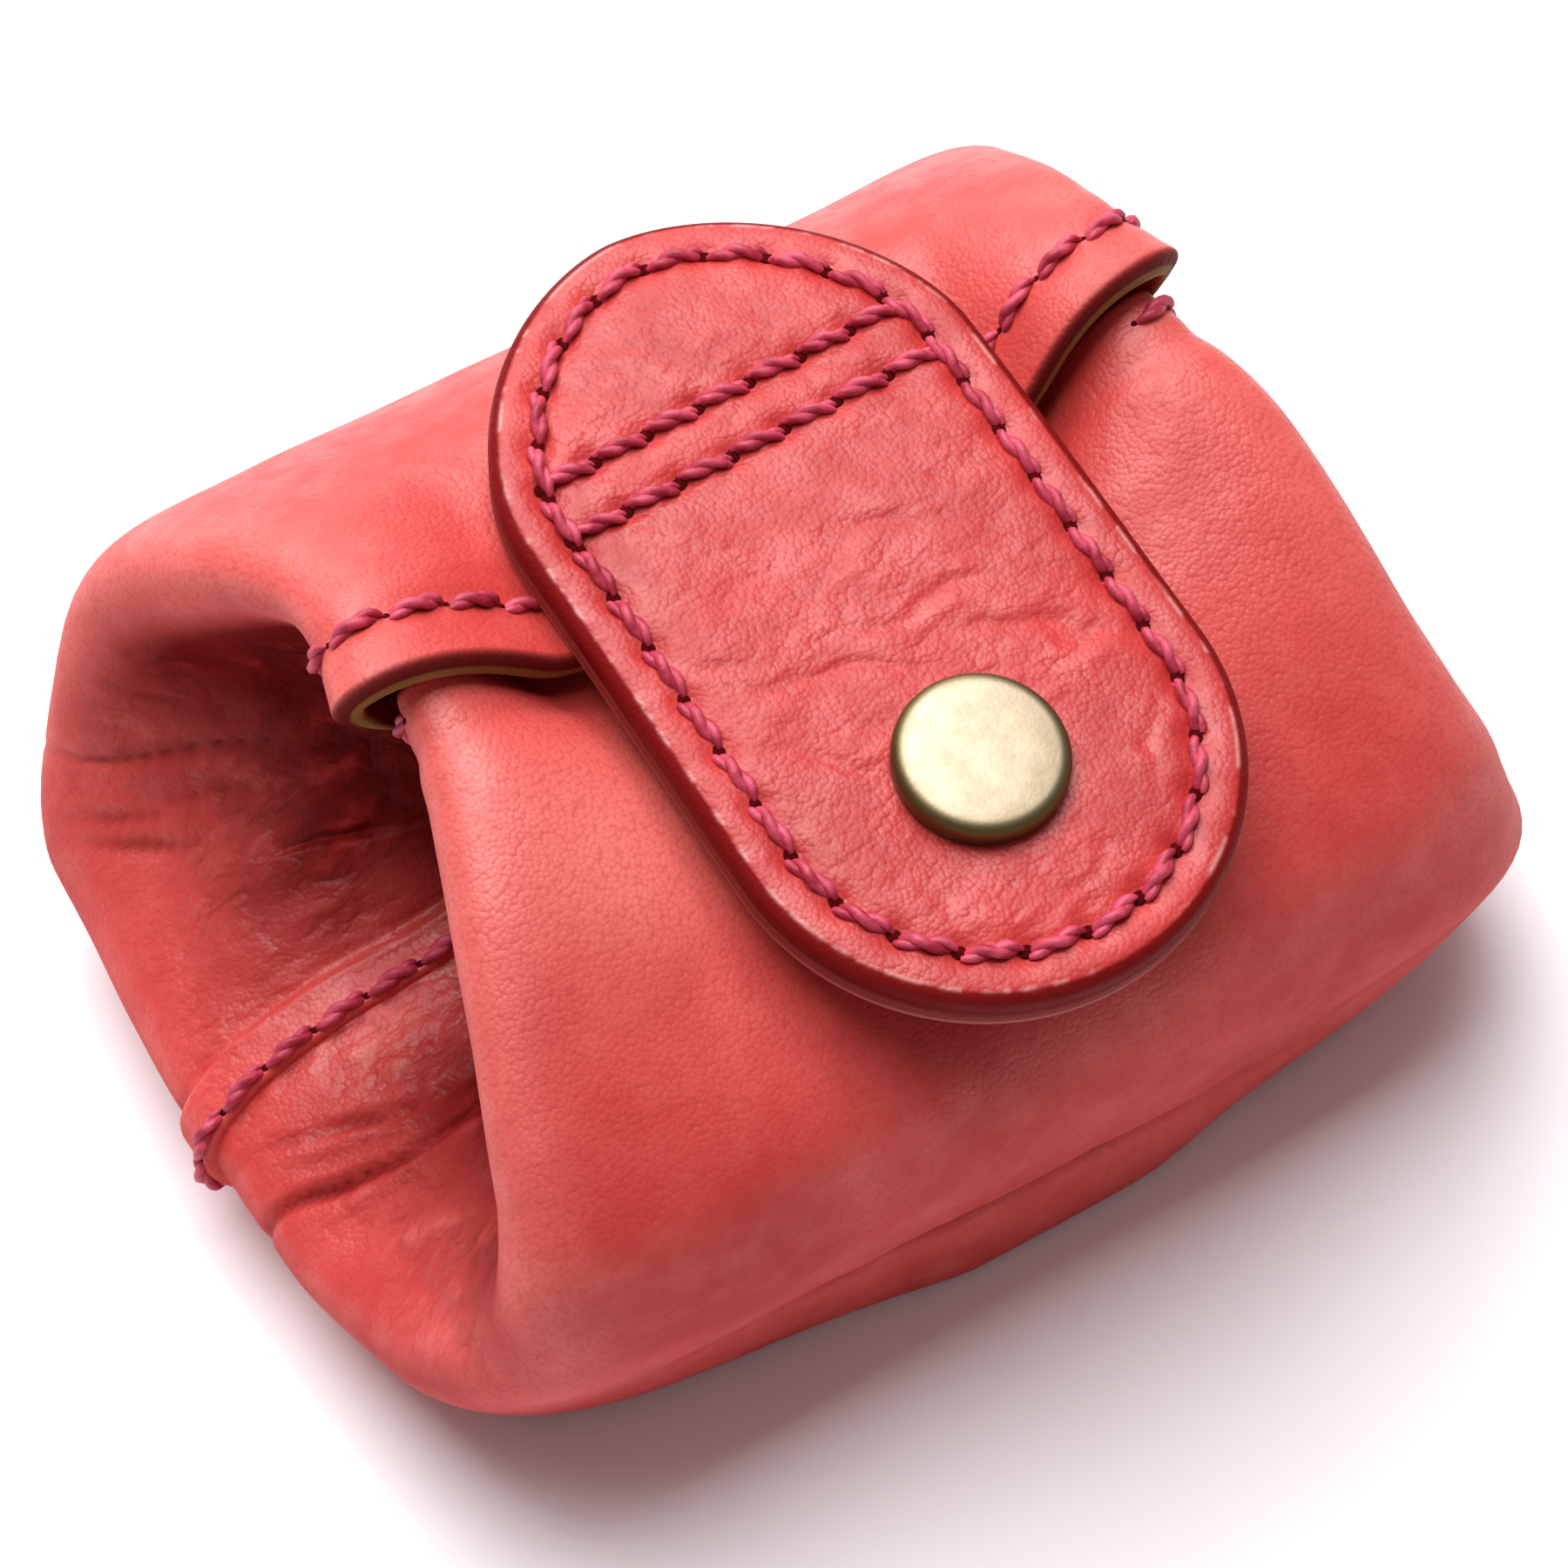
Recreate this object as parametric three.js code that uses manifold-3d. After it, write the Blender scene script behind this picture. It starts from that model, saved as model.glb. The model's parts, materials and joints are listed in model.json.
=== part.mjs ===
// A small soft-leather coin purse, closed by a round-ended tab and a brass snap.
// Millimetres, +Z up, standing on its flat base, front towards -Y.
//
// The body is two leather panels, front and back, that meet at a seam under the base and up both
// sides. It is built as a stack of closed loops from the base to the mouth. The sides of each loop
// are tucked inwards, so that they fold into a deep hollow with the side seam along its floor, and
// the back panel's rim comes forward over the front panel's rim.

import * as THREE from 'three';
import Module from 'manifold-3d';

// Driving dimensions
const LEATHER = 1.8;            // thickness of the body panels
const TAB_LAYER = 1.6;          // thickness of each of the tab's two layers
const GAP = 0.3;                // kept between pieces that meet
const TAB_WIDTH = 30.4;
const TAB_LENGTH = 53.4;
const TAB_OFFSET = 1.6;         // the tab and the mouth sit a little to the right of the base's middle
const FAR_END_POWER = 1.14;     // draws in the shoulders of the tab's far end, 1 is half round
const CAP_DISTANCE = 39.2;      // from the tab's far end to the snap, along the tab
const CAP_ASIDE = -0.5;         // from the tab's middle line to the snap
const CAP_DIAMETER = 10.0;
const CAP_HEIGHT = 1.9;
const MIDDLE_SLUMP = 0.3;       // share of the right fold's slump that the back panel's middle takes
const PRESS_FADE = 2;           // how fast the tab's press fades between the tab and a fold
const RIGHT_RIM_FADE = 3;       // the same for the back panel's right-hand half

// How finely the walls are cut up
const STEPS_PER_LEVEL = 4;
const STEPS_PER_CORNER = 4;
const LOOP_STEPS = [1, 3, 1, 2, 1];     // along each straight of half a loop, from the middle outwards
const BASE_ROWS = 3;
const TAB_ROWS = 8;
const TAB_END_ROWS = 5;
const TAB_COLUMNS = 8;
const TURN_STEPS = 24;

// The level tables below have one row for each of these heights of the body:
// base, lip, belly, shoulder, top, near the mouth, and the mouth's rim.
function table(names, rows) {
  const columns = names.split(' ');
  return rows.map((row) => Object.fromEntries(columns.map((name, k) => [name, row[k]])));
}

// The front panel: its middle line, the half width to its fold, the fold's rounding, how far its
// middle is pressed down by the tab or bows out at the base, the half width of that middle, and how
// far the right-hand fold comes forward while the left-hand one goes back. Then, for the right-hand
// half alone, how far its fold lies behind and how much narrower it is.
const FRONT = table('y z half_width round sag bow flat skew behind narrow', [
  [-23.0, 0.9, 30.6, 13.0, 0.0, 3.0, 7.0, 1.4, 0.0, 0.0],
  [-26.4, 11.2, 37.0, 17.0, 0.0, 0.6, 7.0, 1.4, 0.0, 0.0],
  [-28.4, 19.4, 36.4, 17.0, 0.0, 0.0, 8.0, 0.8, 0.0, 0.0],
  [-26.0, 26.7, 36.6, 11.0, 0.4, 0.0, 9.0, 0.4, 0.0, 0.2],
  [-16.8, 33.0, 33.6, 7.0, 2.8, 0.0, 10.0, 0.0, 0.0, 1.0],
  [-5.2, 38.0, 30.8, 7.0, 4.8, 0.0, 13.0, 0.0, 0.4, 0.5],
  [4.6, 39.7, 26.8, 7.0, 6.4, 0.0, 18.2, 0.0, 0.6, 0.0],
]);

// The front wall of the hollow: the share of the way from the fold to the hollow's floor at which it
// is pulled in, back and down, how far, and the rounding there.
const PULL = table('share inward back down round', [
  [0.85, 0.0, 0.0, 0.0, 3.0],
  [0.85, 0.0, 0.0, 0.0, 3.0],
  [0.65, 3.5, 0.0, 1.5, 8.0],
  [0.50, 8.0, 0.0, 2.5, 8.0],
  [0.50, 7.0, 0.0, 1.0, 7.0],
  [0.50, 3.0, 0.6, 0.0, 5.0],
  [0.50, 0.0, 1.8, 0.0, 4.0],
]);

// The side tuck: where the floor of the hollow lies, how wide that floor is, and its rounding.
const TUCK = table('x y z floor round', [
  [35.0, -0.5, 0.9, 15.0, 9.0],
  [39.8, 0.6, 7.6, 16.0, 11.0],
  [36.6, 1.6, 10.4, 13.0, 9.0],
  [30.4, 1.8, 12.6, 9.5, 7.0],
  [21.0, 1.6, 14.8, 7.0, 4.5],
  [14.8, 4.6, 18.8, 4.8, 3.5],
  [11.3, 7.2, 21.6, 3.4, 2.0],
]);

// The back wall of the hollow: how far its middle swings out, back and up from a straight line. It
// falls in under the back panel's fold, and near the mouth passes behind the front panel's fold.
const SWING = table('out back up round', [
  [0.0, 0.0, 0.0, 9.0],
  [0.0, 0.0, 0.0, 10.0],
  [-6.0, 0.0, -0.5, 10.0],
  [-11.0, 0.0, 0.0, 9.0],
  [-9.0, 0.6, 0.4, 7.0],
  [-4.0, 2.2, 1.4, 6.0],
  [5.4, 1.0, 0.2, 5.2],
]);

// The back panel: as the front panel, how far the tab draws its middle forward, how far the
// right-hand fold sits forward of the left-hand one, or behind it where negative, and how much wider
// the left half is.
const BACK = table('y z half_width round sag draw flat slump wider', [
  [24.0, 0.9, 30.8, 13.0, 0.0, 0.0, 15.6, 0.0, 0.0],
  [28.8, 9.5, 37.9, 16.0, 0.0, 0.0, 15.6, 0.6, 0.0],
  [30.8, 20.0, 36.6, 14.0, 0.0, 0.0, 15.6, 1.6, 0.0],
  [27.8, 30.6, 35.0, 11.0, 0.0, 0.0, 15.6, 2.6, 0.0],
  [19.8, 38.4, 31.6, 8.0, 0.8, 0.0, 15.6, 2.6, 0.0],
  [12.0, 41.2, 29.0, 7.5, 3.6, 0.9, 15.6, 0.8, 1.6],
  [3.4, 42.8, 28.4, 6.0, 6.2, 1.6, 15.6, -0.8, 2.4],
]);

// How far each level leans to the right.
const LEAN = table('x', [
  [-0.3],
  [0.1],
  [-0.5],
  [-0.6],
  [0.4],
  [2.4],
  [2.6],
]);

// The underside of the tab, from its far end over the mouth to its tip.
const TAB_PATH = [[23.0, 39.8], [14.0, 39.4], [2.0, 38.1], [-14.0, 35.4], [-33.0, 32.4]];

// Colours and finishes
const leather = new THREE.MeshStandardMaterial({ color: 0xd95a52, roughness: 0.55, metalness: 0 });
const tabLeather = new THREE.MeshStandardMaterial({ color: 0xd2504a, roughness: 0.5, metalness: 0 });
const backingLeather = new THREE.MeshStandardMaterial({ color: 0x9c3b3a, roughness: 0.7, metalness: 0 });
const brass = new THREE.MeshStandardMaterial({ color: 0xc9bd94, roughness: 0.35, metalness: 1 });

const vec = (x, y, z) => new THREE.Vector3(x, y, z);
const mix = (a, b, t) => a.clone().lerp(b, t);

// A smooth curve through four neighbouring values, at t between the two middle ones.
function through(a, b, c, d, t) {
  const turn = 2 * a - 5 * b + 4 * c - d;
  const bend = -a + 3 * b - 3 * c + d;
  return 0.5 * (2 * b + (c - a) * t + turn * t * t + bend * t * t * t);
}

// One value of a level table at a height counted in rows. Below the base row the heights turn back
// up, so that every wall leaves the base flat.
function readTable(rows, name, height) {
  const last = rows.length - 1;
  const k = Math.min(Math.floor(height), last - 1);
  const value = (n) => {
    if (n < 0) return name === 'z' ? rows[1][name] : 2 * rows[0][name] - rows[1][name];
    if (n > last) return 2 * rows[last][name] - rows[last - 1][name];
    return rows[n][name];
  };
  return through(value(k - 1), value(k), value(k + 1), value(k + 2), height - k);
}

function readLevel(rows, height) {
  return Object.fromEntries(Object.keys(rows[0]).map((name) => [name, readTable(rows, name, height)]));
}

// An open line of straights. Each inner corner with a rounding becomes a parabola.
function roundedLine(points, rounds, steps) {
  const line = [];
  let from = points[0];
  for (let k = 1; k < points.length; k++) {
    const corner = points[k];
    const round = rounds[k] ?? 0;
    const reach = (other) => mix(corner, other, Math.min(round / corner.distanceTo(other), 0.48));
    const start = round > 0 ? reach(points[k - 1]) : corner;
    for (let n = 0; n < steps[k - 1]; n++) line.push(mix(from, start, n / steps[k - 1]));
    from = corner;
    if (round === 0) continue;
    const end = reach(points[k + 1]);
    for (let n = 0; n < STEPS_PER_CORNER; n++) {
      const t = n / STEPS_PER_CORNER;
      line.push(mix(mix(start, corner, t), mix(corner, end, t), t));
    }
    from = end;
  }
  line.push(from);
  return line;
}

// The middle of the fold, counted from the panel's middle.
const FOLD = LOOP_STEPS[0] + LOOP_STEPS[1] + STEPS_PER_CORNER / 2;

// The tab presses a panel's middle down: fully under the tab, then less and less up to the fold. A
// larger fade brings the panel up again sooner.
function press(line, offset, flat, shift, fade) {
  const aside = (p) => Math.abs(p.x - offset);
  const edge = aside(line[FOLD]);
  return line.map((p, k) => {
    if (k > FOLD) return p;
    const left = 1 - THREE.MathUtils.clamp((aside(p) - flat) / (edge - flat), 0, 1);
    return p.clone().addScaledVector(shift, left ** fade);
  });
}

// Half of a panel's loop on one side: from the panel's middle past the edge of the pressed part,
// round the fold and down the wall of the hollow to the side seam.
function frontHalf(height, side) {
  const offset = TAB_OFFSET - readTable(LEAN, 'x', height);
  const front = readLevel(FRONT, height);
  const tuck = readLevel(TUCK, height);
  const pull = readLevel(PULL, height);
  const middle = vec(0, front.y, front.z);
  const halfWidth = front.half_width - (side > 0 ? front.narrow : 0);
  const foldY = front.y - side * front.skew + (side > 0 ? front.behind : 0);
  const corner = vec(side * halfWidth, foldY, front.z);
  const crease = mix(middle, corner, (offset + side * front.flat) / corner.x);
  const floor = vec(side * tuck.x, tuck.y - tuck.floor / 2, tuck.z);
  const wallPoint = mix(corner, floor, pull.share).add(vec(-side * pull.inward, pull.back, -pull.down));
  const seam = vec(side * tuck.x, tuck.y - GAP / 2, tuck.z);
  const points = [middle, crease, corner, wallPoint, floor, seam];
  const line = roundedLine(points, [0, 0, front.round, pull.round, tuck.round], LOOP_STEPS);
  return press(line, offset, front.flat, vec(0, -front.bow, -front.sag), PRESS_FADE);
}

function backHalf(height, side) {
  const offset = TAB_OFFSET - readTable(LEAN, 'x', height);
  const back = readLevel(BACK, height);
  const tuck = readLevel(TUCK, height);
  const swing = readLevel(SWING, height);
  const halfWidth = back.half_width + (side < 0 ? back.wider : 0);
  const middle = vec(0, back.y - MIDDLE_SLUMP * Math.max(back.slump, 0), back.z);
  const corner = vec(side * halfWidth, side > 0 ? back.y - back.slump : back.y, back.z);
  const crease = mix(middle, corner, (offset + side * back.flat) / corner.x);
  const floor = vec(side * tuck.x, tuck.y + tuck.floor / 2, tuck.z);
  const wallPoint = mix(floor, corner, 0.5).add(vec(side * swing.out, swing.back, swing.up));
  const seam = vec(side * tuck.x, tuck.y + GAP / 2, tuck.z);
  const points = [middle, crease, corner, wallPoint, floor, seam];
  const line = roundedLine(points, [0, 0, back.round, swing.round, tuck.round], LOOP_STEPS);
  const fade = side > 0 ? RIGHT_RIM_FADE : PRESS_FADE;
  return press(line, offset, back.flat, vec(0, -back.draw, -back.sag), fade);
}

// A panel's middle surface: rows from the seam under the base, out to the base's edge, and up.
// Each row runs anticlockwise seen from above, so the outside is on its right.
function panelGrid(half, firstSide) {
  const levels = (FRONT.length - 1) * STEPS_PER_LEVEL;
  const grid = [];
  for (let n = 0; n <= levels; n++) {
    const height = n / STEPS_PER_LEVEL;
    const lean = vec(readTable(LEAN, 'x', height), 0, 0);
    const near = half(height, firstSide).reverse();
    const far = half(height, -firstSide).slice(1);
    grid.push([...near, ...far].map((p) => p.add(lean)));
  }
  const edge = grid[0];
  const seamY = edge[0].y;
  for (let n = BASE_ROWS - 1; n >= 0; n--) {
    grid.unshift(edge.map((p) => vec(p.x, seamY + ((p.y - seamY) * n) / BASE_ROWS, p.z)));
  }
  return grid;
}

// Outward directions of a panel's middle surface. The base's rows all face straight down.
function panelNormals(grid) {
  const rows = grid.length;
  const columns = grid[0].length;
  return grid.map((row, i) => row.map((p, j) => {
    if (i <= BASE_ROWS) return vec(0, 0, -1);
    const along = row[Math.min(j + 1, columns - 1)].clone().sub(row[Math.max(j - 1, 0)]);
    const up = grid[Math.min(i + 1, rows - 1)][j].clone().sub(grid[i - 1][j]);
    return along.cross(up).normalize();
  }));
}

// A closed body from corner points and triangles: equal points become one, empty triangles go.
function closedBody(points, triangles) {
  const found = new Map();
  const position = [];
  const number = points.map((p) => {
    const key = [p.x, p.y, p.z].map((v) => Math.round(v * 1e4)).join();
    if (!found.has(key)) {
      found.set(key, found.size);
      position.push(p.x, p.y, p.z);
    }
    return found.get(key);
  });
  const index = triangles
    .map((triangle) => triangle.map((n) => number[n]))
    .filter(([a, b, c]) => a !== b && b !== c && c !== a)
    .flat();
  const geometry = new THREE.BufferGeometry();
  geometry.setAttribute('position', new THREE.Float32BufferAttribute(position, 3));
  geometry.setIndex(index);
  return geometry;
}

// A wall of a given thickness on both sides of a middle surface, with its edges closed.
function wall(grid, normals, thickness) {
  const rows = grid.length;
  const columns = grid[0].length;
  const shifted = (distance) => grid.flatMap((row, i) => (
    row.map((p, j) => p.clone().addScaledVector(normals[i][j], distance))));
  const points = [...shifted(thickness / 2), ...shifted(-thickness / 2)];
  const outer = (i, j) => i * columns + j;
  const inner = (i, j) => rows * columns + i * columns + j;
  const triangles = [];
  const quad = (a, b, c, d) => triangles.push([a, b, c], [a, c, d]);
  for (let i = 0; i < rows - 1; i++) {
    for (let j = 0; j < columns - 1; j++) {
      quad(outer(i, j), outer(i, j + 1), outer(i + 1, j + 1), outer(i + 1, j));
      quad(inner(i, j), inner(i + 1, j), inner(i + 1, j + 1), inner(i, j + 1));
    }
    quad(outer(i, 0), outer(i + 1, 0), inner(i + 1, 0), inner(i, 0));
    const last = columns - 1;
    quad(outer(i + 1, last), outer(i, last), inner(i, last), inner(i + 1, last));
  }
  for (let j = 0; j < columns - 1; j++) {
    quad(outer(0, j + 1), outer(0, j), inner(0, j), inner(0, j + 1));
    const top = rows - 1;
    quad(outer(top, j), outer(top, j + 1), inner(top, j + 1), inner(top, j));
  }
  return closedBody(points, triangles);
}

// The tab's line: a smooth curve in the YZ plane, read by the distance along it.
const tabCurve = new THREE.CatmullRomCurve3(TAB_PATH.map(([y, z]) => vec(TAB_OFFSET, y, z)));
tabCurve.arcLengthDivisions = 400;
const tabCurveLength = tabCurve.getLength();

function tabFrame(distance) {
  const t = distance / tabCurveLength;
  const along = tabCurve.getTangentAt(t);
  return { point: tabCurve.getPointAt(t), along, up: along.clone().cross(vec(1, 0, 0)) };
}

// A layer of the tab: straight sides, a half-round tip and a far end with its shoulders drawn in, at
// a height above the tab's underside.
function tabLayer(bottom, thickness) {
  const half = TAB_WIDTH / 2;
  const stations = [];
  for (let n = 0; n <= TAB_END_ROWS; n++) {
    const angle = (n / TAB_END_ROWS) * (Math.PI / 2);
    const along = Math.max(Math.cos(angle), 0) ** FAR_END_POWER;
    stations.push([half * (1 - along), half * Math.sin(angle) ** FAR_END_POWER]);
  }
  const straight = TAB_LENGTH - TAB_WIDTH;
  for (let n = 1; n < TAB_ROWS; n++) stations.push([half + (straight * n) / TAB_ROWS, half]);
  for (let n = 0; n <= TAB_END_ROWS; n++) {
    const angle = (n / TAB_END_ROWS) * (Math.PI / 2);
    stations.push([TAB_LENGTH - half + half * Math.sin(angle), half * Math.cos(angle)]);
  }
  const grid = [];
  const normals = [];
  for (const [distance, reach] of stations) {
    const { point, up } = tabFrame(distance);
    const middle = point.addScaledVector(up, bottom + thickness / 2);
    const row = [];
    for (let n = 0; n <= TAB_COLUMNS; n++) {
      const across = 1 - (2 * n) / TAB_COLUMNS;
      row.push(middle.clone().add(vec(across * reach, 0, 0)));
    }
    grid.push(row);
    normals.push(row.map(() => up));
  }
  return wall(grid, normals, thickness);
}

// A turned piece on the snap's axis. Its outline is [radius, height] from the axis back to the axis,
// with height 0 at the tab's underside.
const snapFrame = tabFrame(CAP_DISTANCE);
snapFrame.point.x += CAP_ASIDE;
function turned(outline) {
  const profile = outline.map(([radius, height]) => new THREE.Vector2(radius, height));
  const geometry = new THREE.LatheGeometry(profile, TURN_STEPS);
  const axes = new THREE.Matrix4().makeBasis(vec(1, 0, 0), snapFrame.up, vec(1, 0, 0).cross(snapFrame.up));
  geometry.applyMatrix4(axes.setPosition(snapFrame.point));
  const source = geometry.getAttribute('position');
  const points = [];
  for (let k = 0; k < source.count; k++) points.push(vec(source.getX(k), source.getY(k), source.getZ(k)));
  const triangles = [];
  const index = geometry.getIndex().array;
  for (let k = 0; k < index.length; k += 3) triangles.push([index[k], index[k + 1], index[k + 2]]);
  return closedBody(points, triangles);
}

const wasm = await Module();
wasm.setup();

function toSolid(geometry) {
  const mesh = new wasm.Mesh({
    numProp: 3,
    vertProperties: new Float32Array(geometry.getAttribute('position').array),
    triVerts: new Uint32Array(geometry.getIndex().array),
  });
  return new wasm.Manifold(mesh);
}

function drilled(geometry, drill) {
  const mesh = toSolid(geometry).subtract(toSolid(drill)).getMesh();
  const cut = new THREE.BufferGeometry();
  cut.setAttribute('position', new THREE.Float32BufferAttribute(mesh.vertProperties, 3));
  cut.setIndex(Array.from(mesh.triVerts));
  return cut;
}

// The snap. Heights are along its axis from the tab's underside, so the front panel is below 0.
const TAB_TOP = 2 * TAB_LAYER + GAP;
const CAP_RADIUS = CAP_DIAMETER / 2;
const POST_RADIUS = 1.5;
const SOCKET_RADIUS = 4.2;
const SOCKET_BOTTOM = -1.9;
const RECESS_RADIUS = 2.4;
const RECESS_TOP = -0.9;
const HEAD_RADIUS = RECESS_RADIUS - GAP;
const STUD_FLANGE_RADIUS = 3.6;
const STUD_FLANGE_BOTTOM = SOCKET_BOTTOM - GAP - 0.5;
const STUD_POST_RADIUS = 1.2;
const STUD_POST_LENGTH = 4.2;
const STUD_BUTTON_HEIGHT = 0.8;

const capBottom = TAB_TOP + GAP;
const capTop = capBottom + CAP_HEIGHT;
const CAP_SHOULDER = 1.0;
const capRim = [0, 30, 60, 90].map((degrees) => {
  const angle = THREE.MathUtils.degToRad(degrees);
  const centre = CAP_RADIUS - CAP_SHOULDER;
  return [centre + CAP_SHOULDER * Math.cos(angle), capTop - CAP_SHOULDER + CAP_SHOULDER * Math.sin(angle)];
});
const capOutline = [
  [0, RECESS_TOP],
  [RECESS_RADIUS, RECESS_TOP],
  [RECESS_RADIUS, SOCKET_BOTTOM],
  [SOCKET_RADIUS, SOCKET_BOTTOM],
  [SOCKET_RADIUS, -GAP],
  [POST_RADIUS, -GAP],
  [POST_RADIUS, capBottom],
  [CAP_RADIUS, capBottom],
  ...capRim,
  [0, capTop],
];

const studPostBottom = STUD_FLANGE_BOTTOM - STUD_POST_LENGTH;
const studOutline = [
  [0, studPostBottom - STUD_BUTTON_HEIGHT],
  [STUD_FLANGE_RADIUS, studPostBottom - STUD_BUTTON_HEIGHT],
  [STUD_FLANGE_RADIUS, studPostBottom],
  [STUD_POST_RADIUS, studPostBottom],
  [STUD_POST_RADIUS, STUD_FLANGE_BOTTOM],
  [STUD_FLANGE_RADIUS, STUD_FLANGE_BOTTOM],
  [STUD_FLANGE_RADIUS, SOCKET_BOTTOM - GAP],
  [HEAD_RADIUS, SOCKET_BOTTOM - GAP],
  [HEAD_RADIUS, RECESS_TOP - GAP],
  [0, RECESS_TOP - GAP],
];

const drillOutline = (radius, low, high) => [[0, low], [radius, low], [radius, high], [0, high]];
const tabDrill = turned(drillOutline(POST_RADIUS + GAP, -1, TAB_TOP + 1));
const panelDrill = turned(drillOutline(STUD_POST_RADIUS + GAP, studPostBottom - 1, STUD_FLANGE_BOTTOM + 1));

function panel(half, firstSide) {
  const grid = panelGrid(half, firstSide);
  return wall(grid, panelNormals(grid), LEATHER);
}

function piece(name, geometry, material) {
  const mesh = new THREE.Mesh(geometry, material);
  mesh.name = name;
  return mesh;
}

const purse = new THREE.Group();
purse.add(
  piece('front_panel', drilled(panel(frontHalf, -1), panelDrill), leather),
  piece('back_panel', panel(backHalf, 1), leather),
  piece('tab_backing', drilled(tabLayer(0, TAB_LAYER), tabDrill), backingLeather),
  piece('tab_outer', drilled(tabLayer(TAB_LAYER + GAP, TAB_LAYER), tabDrill), tabLeather),
  piece('snap_cap', turned(capOutline), brass),
  piece('snap_stud', turned(studOutline), brass),
);

// The origin is on the surface that the purse stands on, under the middle of its whole extent.
const extent = new THREE.Box3().setFromObject(purse);
const middle = extent.getCenter(vec(0, 0, 0));
for (const mesh of purse.children) mesh.geometry.translate(-middle.x, -middle.y, -extent.min.z);

export default purse;
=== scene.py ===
# %% [markdown]
# # A soft leather coin purse with a snap tab
# The purse stands on its base with its mouth folded shut. Two leather panels meet along the floor of
# a deep tuck in each side, the back panel's rim lies over the front panel's rim, and a round-ended tab
# holds both down with a brass snap. This lesson dresses the fixed CAD frame: every leather piece is
# worked out again as a fine numpy surface, then sewn, finished and lit.

# %% Load the frame
import json

import bpy
import numpy as np
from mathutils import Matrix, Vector

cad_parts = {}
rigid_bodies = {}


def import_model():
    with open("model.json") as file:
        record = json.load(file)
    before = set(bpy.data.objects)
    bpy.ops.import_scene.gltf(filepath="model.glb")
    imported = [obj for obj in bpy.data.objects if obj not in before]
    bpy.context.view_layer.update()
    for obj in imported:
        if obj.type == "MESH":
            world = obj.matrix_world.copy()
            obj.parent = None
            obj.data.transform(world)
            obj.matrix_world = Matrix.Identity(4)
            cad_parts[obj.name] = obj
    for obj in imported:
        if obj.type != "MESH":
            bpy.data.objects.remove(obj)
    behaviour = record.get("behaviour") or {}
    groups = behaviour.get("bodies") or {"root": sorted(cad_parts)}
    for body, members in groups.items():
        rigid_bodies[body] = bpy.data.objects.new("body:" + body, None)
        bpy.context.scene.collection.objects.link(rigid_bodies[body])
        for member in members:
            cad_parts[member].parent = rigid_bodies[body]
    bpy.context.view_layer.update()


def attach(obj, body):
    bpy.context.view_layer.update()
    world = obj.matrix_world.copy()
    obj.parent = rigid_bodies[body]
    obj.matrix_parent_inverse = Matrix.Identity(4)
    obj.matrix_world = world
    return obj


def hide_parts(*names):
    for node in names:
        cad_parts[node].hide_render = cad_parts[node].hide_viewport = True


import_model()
MM = 0.001
ORIGIN = np.array([-0.103, -0.559, 0.0])

# %% [markdown]
# ## Shader sums as Python expressions
# A finish is a small network of nodes. Wiring it by hand hides what it says, so a socket is wrapped in
# a class whose operators add Math nodes, and one method adds any other node.


# %% A socket that takes part in sums
class Level:
    """A shader socket that takes part in sums. Each sum adds one Math node."""

    def __init__(self, finish, socket):
        self.finish = finish
        self.socket = socket

    def sum(self, operation, first, second):
        return self.finish.node("ShaderNodeMath", {"operation": operation}, {0: first, 1: second})

    def __add__(self, other):
        return self.sum("ADD", self, other)

    def __sub__(self, other):
        return self.sum("SUBTRACT", self, other)

    def __rsub__(self, other):
        return self.sum("SUBTRACT", other, self)

    def __mul__(self, other):
        return self.sum("MULTIPLY", self, other)

    __radd__ = __add__
    __rmul__ = __mul__

    def ramp(self, low, high):
        """0 at low, 1 at high and a smooth step between."""
        settings = {"interpolation_type": "SMOOTHSTEP"}
        inputs = {"Value": self, "From Min": low, "From Max": high}
        return self.finish.node("ShaderNodeMapRange", settings, inputs)


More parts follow.
